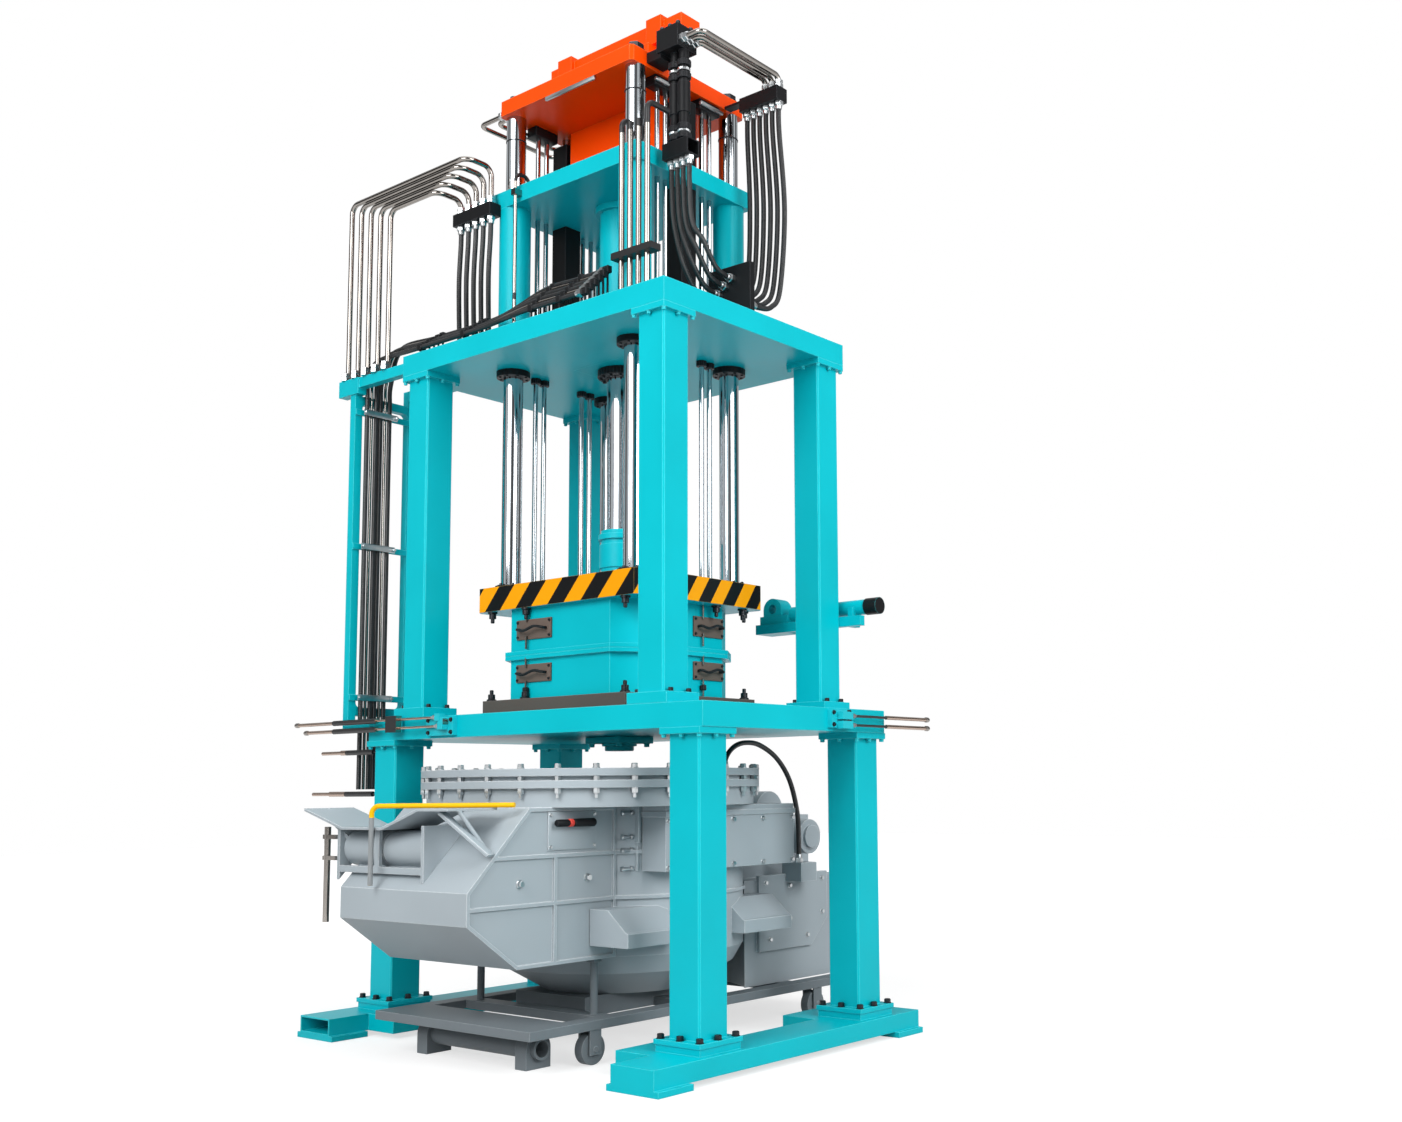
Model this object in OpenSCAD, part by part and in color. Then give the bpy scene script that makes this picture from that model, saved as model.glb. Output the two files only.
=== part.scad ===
// Low pressure die casting press with its holding furnace.
// Millimetres. X runs along the front from left to right, Y from front to back, Z up from the floor.

/* [Floor beams] */
// Width of a floor beam
beam_w = 300; // [260:5:340]
// Height of a floor beam
beam_h = 100; // [80:5:140]
// Wall of a floor beam
beam_wall = 10; // [6:1:14]
// Length of a floor beam in front of its front column
beam_front = 420; // [320:10:500]
// Length of a floor beam behind its back column
beam_back = 265; // [200:5:320]
// Distance of a floor beam outside its columns' centre line
beam_shift = 50; // [0:5:60]
// Thickness of a floor pad
pad_t = 32; // [20:1:40]
// Length of a floor pad
pad_l = 250; // [150:10:300]
// Overhang of a floor pad on each side of its beam
pad_out = 30; // [10:5:50]
// Reach of the short cross pieces on the inner side of a floor beam
stub_reach = 250; // [200:10:280]
// Width of a short cross piece
stub_w = 510; // [400:10:540]
// Height of a short cross piece
stub_h = 100; // [60:2:100]

/* [Columns] */
// Half distance between the lower columns along the front
lower_x = 1305; // [1280:5:1400]
// Half distance between the upper columns along the front
upper_x = 1045; // [980:5:1080]
// Half distance between the columns from front to back
column_y = 685; // [660:5:720]
// Width of a lower column
lower_w = 220; // [180:5:240]
// Width of an upper column
upper_w = 200; // [160:5:210]
// Chamfer along the edges of the columns
column_edge = 9; // [4:1:16]
// Length of a lower column between its plates
lower_h = 1576; // [1560:4:1660]
// Length of an upper column between its plates
upper_h = 2115; // [2080:5:2160]
// Width of a lower column's foot plates
foot_w = 330; // [300:5:350]
// Thickness of the sole plate on the floor beam
sole_t = 38; // [24:1:44]
// Thickness of a lower column's foot plate
foot_t = 26; // [20:1:34]
// Width of a lower column's head plate
head_w = 290; // [260:5:300]
// Thickness of the head plates
head_t = 35; // [24:1:40]
// Width of an upper column's head plate
cap_w = 256; // [236:4:260]
// Width of an upper column's base block along the front
block_x = 300; // [260:5:320]
// Height of an upper column's base block
block_t = 62; // [40:2:80]

/* [Platens] */
// Overhang of the fixed platen outside the lower columns along the front
table_out_x = 41; // [36:1:60]
// Overhang of the fixed platen outside the columns from front to back
table_out_y = 17; // [16:1:40]
// Thickness of the fixed platen
table_t = 136; // [110:2:160]
// Diameter of the riser opening in the fixed platen
riser_hole_d = 420; // [360:10:480]
// Thickness of the top platen
top_t = 135; // [110:5:160]
// Width of the opening for the main cylinder in the top platen
cylinder_hole = 420; // [380:10:460]
// Width of the cylinder plate along the front
upper_plate_x = 1322; // [1300:2:1400]
// Depth of the cylinder plate
upper_plate_y = 1040; // [1030:5:1100]
// Thickness of the cylinder plate
upper_plate_t = 110; // [80:5:130]
// Length of the guide sleeves between the top platen and the cylinder plate
sleeve_h = 934; // [900:2:1000]
// Outer diameter of a guide sleeve
sleeve_d = 200; // [180:5:210]
// Outer diameter of a guide bush flange
bush_d = 212; // [200:2:230]
// Height of a guide bush flange
bush_h = 40; // [20:2:60]

/* [Moving frame] */
// Half distance between the guide columns along the front
guide_x = 549; // [530:1:556]
// Half distance between the guide columns from front to back
guide_y = 422; // [410:1:426]
// Diameter of a guide column
guide_d = 125; // [100:1:130]
// Running clearance around a sliding rod, measured on the radius
fit = 1; // [0.5:0.1:2]
// Width of the moving platen along the front
platen_x = 1446; // [1430:2:1500]
// Depth of the moving platen
platen_y = 1112; // [1090:2:1160]
// Thickness of the moving platen
platen_t = 152; // [130:2:170]
// Chamfer on the corners of the moving platen
platen_chamfer = 36; // [10:2:60]
// Width of the crosshead plate along the front
cross_x = 1220; // [1215:5:1300]
// Depth of the crosshead plate
cross_y = 1030; // [1020:5:1080]
// Chamfer on the corners of the crosshead plate
cross_chamfer = 20; // [10:2:40]
// Thickness of the crosshead plate
cross_t = 98; // [80:2:120]
// Gap between the cylinder plate and the crosshead plate, die closed
cross_gap = 520; // [480:5:560]
// Upward stroke of the moving frame
stroke = 900; // [700:10:900]
// Width of the crosshead beam
cross_beam_w = 170; // [140:5:200]
// Height of the crosshead beam
cross_beam_h = 150; // [120:5:180]
// Height of the box under the crosshead beam
cross_box_h = 238; // [200:2:260]
// Diameter of the main piston rod
ram_d = 180; // [140:5:200]
// Outer diameter of the main cylinder
ram_tube_d = 280; // [260:5:320]
// Diameter of the coupling on the moving platen
collar_d = 262; // [240:2:280]
// Height of the coupling
collar_h = 360; // [300:10:400]
// Width of a lift cylinder
lift_w = 130; // [110:5:140]
// Distance of the lift cylinders from the press axis
lift_x = 530; // [500:5:560]
// Diameter of a lift rod
lift_rod_d = 70; // [50:5:80]
// Diameter of a tie rod
tie_d = 32; // [24:1:40]
// Distance of the tie rods from the middle plane
tie_y = 200; // [190:5:220]
// Distance between the two tie rods of a pair
tie_pitch = 72; // [60:2:80]

/* [Die] */
// Half width of the die along the front
die_x = 600; // [560:5:610]
// Half depth of the die
die_y = 505; // [480:5:520]
// Length cut off each die corner along the front
die_cut_x = 162; // [120:2:190]
// Length cut off each die corner from front to back
die_cut_y = 212; // [160:2:240]
// Thickness of the die base plate
die_base_t = 95; // [70:5:110]
// Height of the lower die half
lower_die_h = 270; // [240:5:300]
// Height of the upper die half
upper_die_h = 290; // [260:5:320]
// Height of the rim on each die half
rim_h = 26; // [16:2:40]
// Overhang of the rim
rim_out = 25; // [12:1:40]

/* [Hose frame] */
// Distance of the hose frame from the press axis
frame_x = 1750; // [1700:10:1800]
// Depth of the hose frame
frame_depth = 420; // [360:10:460]
// Width of the hose frame's tubes
frame_tube = 56; // [40:2:64]
// Outer corner radius of the hose frame
frame_corner = 90; // [70:5:110]
// Diameter of a hose
hose_d = 32; // [26:1:33]
// Diameter of a steel pipe
pipe_d = 34; // [26:1:38]
// Bend radius of a steel pipe
pipe_bend = 64; // [56:4:110]
// Reach of the core tubes from the fixed platen to the left
tube_reach = 754; // [700:2:800]
// Diameter of a core tube's sleeve
tube_d = 34; // [30:1:40]
// Diameter of a core tube's rod
core_d = 16; // [10:1:20]

/* [Furnace] */
// Distance of the furnace's middle in front of the press axis
furnace_y = 220; // [200:5:240]
// Diameter of the bolted furnace rings
ring_d = 2028; // [1960:4:2060]
// Thickness of a furnace ring
ring_t = 42; // [30:1:50]
// Gap between the two furnace rings
ring_gap = 24; // [16:1:36]
// Gap between the upper ring and the fixed platen
riser_gap = 205; // [190:5:230]
// Diameter of the furnace neck under the rings
neck_d = 1960; // [1900:4:1970]
// Height of the neck above the furnace deck
neck_h = 104; // [80:2:120]
// Diameter of the round vessel under the deck
vessel_d = 1536; // [1500:4:1560]
// Half width of the furnace nose
body_w = 535; // [500:5:560]
// Distance of the furnace nose in front of the press axis
nose_y = 1593; // [1560:1:1620]
// Height of the nose's sloping face
slope_h = 427; // [400:1:450]
// Depth of the nose's sloping face
slope_d = 406; // [380:2:430]
// Height of the nose's front face
face_h = 169; // [150:1:190]
// Depth of the nose's sloping underside
under_d = 331; // [300:1:360]
// Width of the stiffening ribs on the furnace
rib_w = 20; // [14:1:30]
// Height of the stiffening ribs above the furnace wall
rib_out = 14; // [8:1:20]
// Distance of the furnace's back end behind the press axis
tail_y = 1600; // [1560:10:1640]
// Height of the carriage deck's underside
deck_low = 190; // [180:2:210]
// Height of the carriage bars
bar_h = 50; // [40:2:60]
// Width of the carriage bars
bar_w = 110; // [90:5:130]
// Half distance between the carriage rails
carriage_x = 610; // [580:5:640]
// Diameter of the carriage roller
roller_d = 116; // [100:2:130]

/* [Hidden] */
$fn = 48;
CYAN = [0, 0.76, 0.80];
ORANGE = [0.96, 0.28, 0.02];
STEEL = [0.78, 0.78, 0.78];
BLACK = [0.09, 0.09, 0.10];
GREY = [0.68, 0.72, 0.75];
IRON = [0.38, 0.39, 0.40];
AMBER = [0.98, 0.62, 0.02];
YELLOW = [0.95, 0.80, 0.05];
BROWN = [0.34, 0.31, 0.29];

// Levels, from the floor up
beam_z = pad_t;
sole_z = beam_z + beam_h;
foot_z = sole_z + sole_t;
lower_z = foot_z + foot_t;
table_z = lower_z + lower_h + head_t;
table_top = table_z + table_t;
upper_z = table_top + block_t;
top_z = upper_z + upper_h + head_t;
top_top = top_z + top_t;
plate_z = top_top + sleeve_h;
plate_top = plate_z + upper_plate_t;
cross_z = plate_top + cross_gap;
cross_top = cross_z + cross_t;
cross_box_top = cross_top + cross_box_h;
die_z = table_top + die_base_t;
parting_z = die_z + lower_die_h;
parting_gap = 0.5;
platen_z = parting_z + upper_die_h;
platen_top = platen_z + platen_t;

// Levels of the furnace: it hangs under the fixed platen, and the belly takes up the height that is left
bed_h = 60;
ring_top = table_z - riser_gap;
deck_z = ring_top - 2 * ring_t - ring_gap - neck_h;
nose_top = deck_z - slope_h;
nose_low = nose_top - face_h;
bed_z = deck_low + bar_h + bed_h;
belly_z = (bed_z + nose_low) / 2;

// Plan sizes
beam_x = lower_x + beam_shift;
beam_y0 = -column_y - lower_w / 2 - beam_front;
beam_y1 = column_y + lower_w / 2 + beam_back;
table_x = lower_x + lower_w / 2 + table_out_x;
table_y = column_y + lower_w / 2 + table_out_y;
top_x = upper_x + cap_w / 2;
top_y = column_y + cap_w / 2;
pad_x = beam_x + beam_w / 2 + pad_out;
tube_tip = table_x + tube_reach;
cover_y = 60;

// Middle of the whole outline, so that the origin lies under it
axis_x = (tube_tip - pad_x) / 2;
axis_y = (nose_y + cover_y - tail_y) / 2;

// A box between two corners
module span(a, b) {
    translate(a) cube(b - a);
}

// A flat plate, centred in plan, with its underside at z
module plate(w, d, z, t) {
    translate([-w / 2, -d / 2, z]) cube([w, d, t]);
}

// An upright round bar with its lower end at z
module bar(d, z, h) {
    translate([0, 0, z]) cylinder(h = h, d = d);
}

// A level round bar along X, from x on, with its axis at y and z
module rod_x(d, x, y, z, h) {
    translate([x, y, z]) rotate([0, 90, 0]) cylinder(h = h, d = d);
}

// A rectangle of half sizes x and y with its corners cut off
module cut_corners(x, y, cut_x, cut_y) {
    polygon([[x, y - cut_y], [x - cut_x, y], [cut_x - x, y], [-x, y - cut_y],
             [-x, cut_y - y], [cut_x - x, -y], [x - cut_x, -y], [x, cut_y - y]]);
}

// A rectangle of size w by h with round corners
module rounded(w, h, r) {
    translate([r, 0]) square([w - 2 * r, h]);
    translate([0, r]) square([w, h - 2 * r]);
    for (x = [r, w - r], y = [r, h - r]) translate([x, y]) circle(r = r);
}

// An upright square post with chamfered edges
module post(w, z, h) {
    translate([0, 0, z]) linear_extrude(h) cut_corners(w / 2, w / 2, column_edge, column_edge);
}

// A profile drawn from front to back, with its first axis pointing to the front, from x over a width w
module across(x, w) {
    translate([x + w, 0, 0]) rotate([90, 0, -90]) linear_extrude(w) children();
}

// Copies of the children at the four corners of a rectangle
module at_corners(x, y) {
    for (sx = [-1, 1], sy = [-1, 1]) translate([sx * x, sy * y, 0]) children();
}

function unit(v) = v / norm(v);

// A round bar from a to b
module link(a, b, d) {
    v = b - a;
    translate(a) rotate([0, acos(v.z / norm(v)), atan2(v.y, v.x)]) cylinder(h = norm(v), d = d);
}

// Distance from a corner of a pipe run to the ends of its bend
function bend_cut(a, p, b, r) = r * tan(acos(unit(p - a) * unit(b - p)) / 2);

// One round bend of a pipe run, at its corner p between a and b
module bend(a, p, b, d, r) {
    u = unit(p - a);
    v = unit(b - p);
    n = unit(v - (u * v) * u);
    w = cross(u, n);
    c = p - u * bend_cut(a, p, b, r) + n * r;
    multmatrix([[-n.x, u.x, w.x, c.x], [-n.y, u.y, w.y, c.y], [-n.z, u.z, w.z, c.z], [0, 0, 0, 1]])
        rotate_extrude(angle = acos(u * v)) translate([r, 0]) circle(d = d);
}

// A pipe through corner points, with round bends
module pipe(p, d, r) {
    n = len(p) - 1;
    for (i = [0 : n - 1]) {
        u = unit(p[i + 1] - p[i]);
        cut0 = i == 0 ? 0 : bend_cut(p[i - 1], p[i], p[i + 1], r);
        cut1 = i == n - 1 ? 0 : bend_cut(p[i], p[i + 1], p[i + 2], r);
        link(p[i] + u * cut0, p[i + 1] - u * cut1, d);
    }
    for (i = [1 : 1 : n - 1]) bend(p[i - 1], p[i], p[i + 1], d, r);
}

// Points along a smooth curve through p, with n steps between neighbours
function knot(a, b, c, d, t) =
    (2 * b + (c - a) * t + (2 * a - 5 * b + 4 * c - d) * t * t + (3 * b - a - 3 * c + d) * t * t * t) / 2;
function curve(p, n) = let (m = len(p) - 1) [
    for (i = [0 : m - 1], k = [0 : n - 1])
        knot(p[max(i - 1, 0)], p[i], p[i + 1], p[min(i + 2, m)], k / n),
    p[m]
];

// A flexible hose along a smooth curve through p; side is a direction that the curve never takes
module hose(p, d, side, n = 3, sides = 8) {
    c = curve(p, n);
    m = len(c) - 1;
    points = [
        for (i = [0 : m])
            let (t = i == 0 ? unit(p[1] - p[0]) : i == m ? unit(p[len(p) - 1] - p[len(p) - 2])
                     : unit(c[i + 1] - c[i - 1]),
                 u = unit(cross(side, t)), v = cross(t, u))
            for (k = [0 : sides - 1]) c[i] + d / 2 * (u * cos(360 * k / sides) + v * sin(360 * k / sides))
    ];
    faces = [
        [for (k = [0 : sides - 1]) k],
        [for (k = [sides - 1 : -1 : 0]) m * sides + k],
        for (i = [0 : m - 1], k = [0 : sides - 1])
            let (a = i * sides + k, b = i * sides + (k + 1) % sides)
            [a, a + sides, b + sides, b]
    ];
    polyhedron(points, faces);
}

// Floor beam of rectangular tube on two pads, with short cross pieces at its columns and in the middle
module base_beam(side, open_front) {
    mid = side * beam_x;
    inner = mid - side * beam_w / 2;
    color(CYAN) {
        difference() {
            span([mid - beam_w / 2, beam_y0, beam_z], [mid + beam_w / 2, beam_y1, sole_z]);
            span([mid - beam_w / 2 + beam_wall, beam_y0 + (open_front ? -1 : beam_wall), beam_z + beam_wall],
                 [mid + beam_w / 2 - beam_wall, beam_y1 - beam_wall, sole_z - beam_wall]);
        }
        for (y = [beam_y0, beam_y1 - pad_l])
            translate([mid - beam_w / 2 - pad_out, y, 0]) cube([beam_w + 2 * pad_out, pad_l, pad_t]);
        for (y = [-column_y, column_y])
            translate([min(inner, inner - side * stub_reach), y - stub_w / 2, beam_z])
                cube([stub_reach, stub_w, stub_h]);
        for (y = [-column_y, column_y])
            translate([side * lower_x, y, 0]) plate(foot_w - 16, foot_w - 16, sole_z, sole_t);
    }
}

module left_base_beam() { base_beam(-1, true); }
module right_base_beam() { base_beam(1, false); }

// Lower column with its foot and head plates
module lower_column(sx, sy) {
    color(CYAN) translate([sx * lower_x, sy * column_y, 0]) {
        plate(foot_w, foot_w, foot_z, foot_t);
        post(lower_w, lower_z, lower_h);
        plate(head_w, head_w, lower_z + lower_h, head_t);
    }
}

module front_left_lower_column() { lower_column(-1, -1); }
module front_right_lower_column() { lower_column(1, -1); }
module back_left_lower_column() { lower_column(-1, 1); }
module back_right_lower_column() { lower_column(1, 1); }

// Fixed platen with the riser opening
module fixed_platen() {
    color(CYAN) difference() {
        plate(2 * table_x, 2 * table_y, table_z, table_t);
        bar(riser_hole_d, table_z - 1, table_t + 2);
    }
}

// Upper column with its base block and head plate
module upper_column(sx, sy) {
    color(CYAN) translate([sx * upper_x, sy * column_y, 0]) {
        plate(block_x, 2 * (table_y - column_y), table_top, block_t);
        post(upper_w, upper_z, upper_h);
        plate(cap_w, cap_w, upper_z + upper_h, head_t);
    }
}

module front_left_upper_column() { upper_column(-1, -1); }
module front_right_upper_column() { upper_column(1, -1); }
module back_left_upper_column() { upper_column(-1, 1); }
module back_right_upper_column() { upper_column(1, 1); }

// Holes that the sliding rods pass through, over a height
module rod_holes(z, h) {
    at_corners(guide_x, guide_y) bar(guide_d + 2 * fit, z, h);
    at_corners(guide_x, tie_y - tie_pitch / 2) bar(tie_d + 2 * fit, z, h);
    at_corners(guide_x, tie_y + tie_pitch / 2) bar(tie_d + 2 * fit, z, h);
}

// Top platen
module top_platen() {
    color(CYAN) difference() {
        plate(2 * top_x, 2 * top_y, top_z, top_t);
        rod_holes(top_z - 1, top_t + 2);
        plate(cylinder_hole, cylinder_hole, top_z - 1, top_t + 2);
    }
}

// Black flanges of the guide bushes under the top platen
module guide_bushes() {
    color(BLACK) at_corners(guide_x, guide_y) difference() {
        bar(bush_d, top_z - bush_h, bush_h);
        bar(guide_d + 2 * fit, top_z - bush_h - 1, bush_h + 2);
    }
}

// Guide sleeves that carry the cylinder plate
module guide_sleeves() {
    color(CYAN) at_corners(guide_x, guide_y) difference() {
        bar(sleeve_d, top_top, sleeve_h);
        bar(guide_d + 2 * fit, top_top - 1, sleeve_h + 2);
    }
}

// Cylinder plate on the sleeves
module cylinder_plate() {
    color(CYAN) difference() {
        plate(upper_plate_x, upper_plate_y, plate_z, upper_plate_t);
        rod_holes(plate_z - 1, upper_plate_t + 2);
        for (s = [-1, 1])
            translate([s * lift_x, 0, 0]) plate(lift_w, lift_w, plate_z - 1, upper_plate_t + 2);
    }
}

// Main cylinder, hung under the cylinder plate and carried through the top platen
ram_stop = 60;
ram_top = plate_z - ram_stop - stroke - 14;
module main_cylinder() {
    color(CYAN) difference() {
        union() {
            bar(ram_tube_d, top_z, plate_z - top_z);
            plate(cylinder_hole, cylinder_hole, top_z, top_t);
            bar(ram_tube_d + 60, plate_z - 40, 40);
        }
        bar(ram_d + 2 * fit, top_z - 1, plate_z - ram_stop - top_z + 1);
    }
}

// Two square lift cylinders beside the main cylinder
lift_head = 60;
module lift_cylinders() {
    color(BLACK) for (s = [-1, 1]) translate([s * lift_x, 0, 0]) difference() {
        plate(lift_w, lift_w, top_top, cross_z - lift_head - top_top);
        bar(lift_rod_d + 2 * fit, top_top + lift_head, cross_z - top_top);
    }
}

// Hose frame on the left: a bent tube loop, the arms that hold it and its clamp bars
frame_y = -top_y + 20;
frame_low = table_top + 40;
frame_high = top_z - 10;
frame_w = frame_depth + frame_tube;
frame_h = frame_high - frame_low;
arm_z = top_z + 30;
arm_top = arm_z + 70;
head_reach = 150;
foot_h = 60;
clip_t = 12;
clip_h = 40;
clip_z = [frame_low + frame_corner + 10, frame_low + 1110, frame_high - frame_corner - clip_h - 10];
module hose_frame() {
    color(CYAN) translate([-frame_x, frame_y, 0]) {
        translate([0, frame_w, frame_low]) across(-frame_tube / 2, frame_tube) difference() {
            rounded(frame_w, frame_h, frame_corner);
            translate([frame_tube, frame_tube])
                rounded(frame_w - 2 * frame_tube, frame_h - 2 * frame_tube, frame_corner - frame_tube);
        }
        for (y = [0, frame_depth]) translate([0, y, 0]) {
            span([-frame_tube / 2, 0, frame_high - frame_corner], [frame_tube / 2, frame_tube, arm_top]);
            span([0, 0, arm_z], [frame_x - top_x, frame_tube, arm_top]);
        }
        span([-head_reach, -10, arm_z - 40], [frame_tube / 2 + 40, frame_tube, arm_top]);
        span([0, 0, table_top - foot_h], [frame_x - table_x, frame_tube, table_top]);
        span([-frame_tube / 2, 0, table_top - foot_h],
             [frame_tube / 2, frame_tube, frame_low + frame_corner]);
    }
    color(IRON) for (z = clip_z)
        translate([-frame_x + frame_tube / 2, frame_y, z]) cube([clip_t, frame_w, clip_h]);
}

// Hoses clipped on the frame and laid along the front edge of the top platen
hose_count = 6;
hose_pitch = hose_d + 3;
lie_z = top_top + hose_d / 2 + 0.3;
module frame_hoses() {
    x = -frame_x + frame_tube / 2 + clip_t + hose_d / 2;
    color(BLACK) for (i = [0 : hose_count - 1]) {
        y = frame_y + frame_tube + hose_d / 2 + 2 + hose_pitch * i;
        hose([[x, y, table_z - 307], [x, y, table_top + 57], [x, y, frame_high - 445],
              [x, y, frame_high - 60], [x, y, frame_high - 20],
              [x + 40, y, frame_high + 110], [x + 180, y, lie_z],
              [-top_x + 73, y, lie_z], [-200, y, lie_z], [300, y, lie_z]], hose_d, [0, 1, 0], 2);
    }
}

// Steel pipes that rise beside the hose frame and run to the left manifold
pipe_count = 5;
manifold_z = plate_z - 54;
manifold_h = 80;
manifold_x = -upper_plate_x / 2 - 290;
manifold_y = -upper_plate_y / 2 - 50;
manifold_pitch = 75;
manifold_top = manifold_z + manifold_h;
rise_y = frame_y + 20;
module rising_pipes() {
    color(STEEL) for (i = [0 : pipe_count - 1]) {
        x = -frame_x - 90 + 110 * i;
        far = manifold_x + manifold_pitch * (pipe_count - i - 0.5);
        z = manifold_top + pipe_bend + 36 * (pipe_count - i);
        pipe([[x, rise_y, arm_top], [x, rise_y, z], [far, rise_y, z], [far, manifold_y, z],
              [far, manifold_y, manifold_top]], pipe_d, pipe_bend);
    }
}

// Black manifold that joins the rising pipes to the hoses
module left_manifold() {
    color(BLACK) span([manifold_x, manifold_y - 40, manifold_z],
                      [manifold_x + manifold_pitch * pipe_count, -upper_plate_y / 2, manifold_top]);
}

// Hoses that drop from the left manifold to the top platen
module drop_hoses() {
    color(BLACK) for (i = [0 : pipe_count - 1]) {
        x = manifold_x + manifold_pitch * (i + 0.5);
        end = [x - 120, -470, top_top];
        hose([[x, manifold_y, manifold_z], [x, manifold_y, manifold_z - 120],
              [x - 40, manifold_y + 20, top_top + 510],
              end + [0, -10, 220], end + [0, 0, 90], end], hose_d, [0, 1, 0], 3);
    }
}

// Steel pipes at the near corner on a clamp bar, and one thin pipe clipped to the front of the cylinder plate
corner_x = guide_x + 71;
corner_y = -upper_plate_y / 2 - 80;
corner_pitch = 70;
elbow = 50;
clamp_z = top_top + 280;
thin_d = 24;
thin_x = -390;
thin_y = -upper_plate_y / 2 - 36;
module corner_pipes() {
    last = corner_x + 3 * corner_pitch;
    color(STEEL) {
        pipe([[corner_x, corner_y, top_top], [corner_x, corner_y, plate_top + 100],
              [corner_x, corner_y + 80, plate_top + 100]], pipe_d, elbow);
        for (x = [corner_x + corner_pitch, corner_x + 2 * corner_pitch])
            translate([x, corner_y, 0]) bar(pipe_d, top_top, plate_top + 60 - top_top);
        pipe([[last, corner_y, top_top], [last, corner_y, plate_top + 150],
              [last, corner_y + 170, plate_top + 150]], pipe_d, elbow);
    }
    color(BLACK)
        span([corner_x - 50, corner_y - 40, clamp_z], [last + 70, corner_y + 40, clamp_z + 40]);
    color(STEEL) translate([thin_x, 0, 0]) {
        pipe([[0, thin_y, top_top + 90], [0, thin_y, plate_top + 70], [0, thin_y + 110, plate_top + 70],
              [0, thin_y + 110, plate_top]], thin_d, elbow);
        span([-20, thin_y - 20, plate_z + 30], [20, -upper_plate_y / 2, plate_z + 70]);
    }
}

// A core tube along X: a rod from x0 to x1, a sleeve to x2 and a tip to x3
module core_tube(x0, x1, x2, x3, y, z) {
    rod_x(core_d, x1, y, z, x0 - x1);
    rod_x(tube_d, x2, y, z, x1 - x2);
    rod_x(tube_d - 10, x3, y, z, x2 - x3);
}

// Core tubes along the front, out to the left, and the two lower ones on the front column
tube_pitch = 54;
tube_out = 50;
nut = 44;
module front_tubes() {
    face = -table_y - 30;
    y = -table_y - tube_out;
    z = table_top - 12;
    low_y = -column_y - 75;
    side = -lower_x - lower_w / 2;
    color(CYAN) {
        span([-820, face, table_z + 14], [-560, -table_y, table_top - 10]);
        translate([-630, face, table_top - 40]) rotate([90, 0, 0]) cylinder(h = 40, d = 56);
    }
    color(STEEL) for (k = [0, 1]) translate([0, 0, z - tube_pitch * k]) {
        core_tube(-660 + 30 * k, -1300, -1770, -tube_tip + 110 * k, y, 0);
        span([-690 + 30 * k, y - nut / 2, -nut / 2], [-640 + 30 * k, face, nut / 2]);
    }
    color(BLACK) span([-1180, y - 24, z - tube_pitch - 24], [-1070, y + 24, z + 24]);
    color(BLACK) for (k = [0, 1])
        core_tube(side, side - 60, -1830 - 120 * k, -2046 - 100 * k, low_y, table_z - 67 - 270 * k);
}

// Core tubes along the right side, out to the back
module side_tubes() {
    z = table_top - 46;
    color(CYAN) span([table_x, 250, table_z + 20], [table_x + 30, 440, table_top - 10]);
    color(STEEL) for (k = [0, 1]) {
        translate([table_x + tube_out, 340, z - tube_pitch * k]) rotate([-90, 0, 0]) {
            cylinder(h = 880, d = core_d);
            translate([0, 0, 420]) cylinder(h = 460, d = tube_d - 10);
        }
        translate([table_x, 0, z - tube_pitch * k]) span([30, 300, -nut / 2], [tube_out + 24, 400, nut / 2]);
    }
}

// Side cylinder across the back of the right upper column, on a flat arm with a clevis at its inner end
module side_cylinder() {
    y = column_y + upper_w / 2;
    z = parting_z + 172;
    axis = z + 125;
    color(CYAN) {
        span([upper_x - 590, y, z], [upper_x + 260, y + 45, z + 62]);
        difference() {
            union() {
                span([upper_x - 590, y + 45, z], [upper_x - 360, y + 165, z + 120]);
                translate([upper_x - 490, y + 50, z + 160]) rotate([-90, 0, 0]) cylinder(h = 110, d = 150);
                span([upper_x - 565, y + 50, z + 100], [upper_x - 415, y + 160, z + 160]);
            }
            translate([upper_x - 490, y, z + 165]) rotate([-90, 0, 0]) cylinder(h = 200, d = 62);
        }
        rod_x(96, upper_x - 360, y + 105, axis, 600);
        span([upper_x + 130, y + 45, z], [upper_x + 170, y + 120, axis]);
    }
    color(BLACK) rod_x(106, upper_x + 240, y + 105, axis, 96);
}

// Outline of the die, grown by a rim
module die_outline(out) {
    cut_corners(die_x + out, die_y + out, die_cut_x, die_cut_y);
}

// Base plate under the die
module die_base_plate() {
    color(BROWN) difference() {
        plate(2 * die_x + 60, 2 * die_y + 120, table_top, die_base_t);
        bar(riser_hole_d - 120, table_top - 1, die_base_t + 2);
    }
}

// Lower die half with its rim
module lower_die() {
    color(CYAN) translate([0, 0, die_z]) {
        linear_extrude(lower_die_h - parting_gap) die_outline(0);
        translate([0, 0, lower_die_h - rim_h]) linear_extrude(rim_h - parting_gap) die_outline(rim_out);
    }
}

// Upper die half with its rim
module upper_die() {
    color(CYAN) translate([0, 0, parting_z]) {
        linear_extrude(upper_die_h) die_outline(0);
        linear_extrude(rim_h) die_outline(rim_out);
    }
}

// Riser neck between the fixed platen and the furnace
riser_w = 230;
riser_flange = 40;
module riser_neck() {
    color(CYAN) {
        plate(riser_w + 70, riser_w + 70, table_z - riser_flange, riser_flange);
        plate(riser_w, riser_w, ring_top, table_z - riser_flange - ring_top);
    }
}

// The nose's slopes: the rise of each, and the upper one's height at a distance y in front of the axis
slope_y = nose_y - slope_d;
slope = slope_h / slope_d;
under_y = nose_y - under_d;
under = (nose_low - belly_z) / under_d;
function slope_at(y) = deck_z - slope * (y - slope_y);

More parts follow.
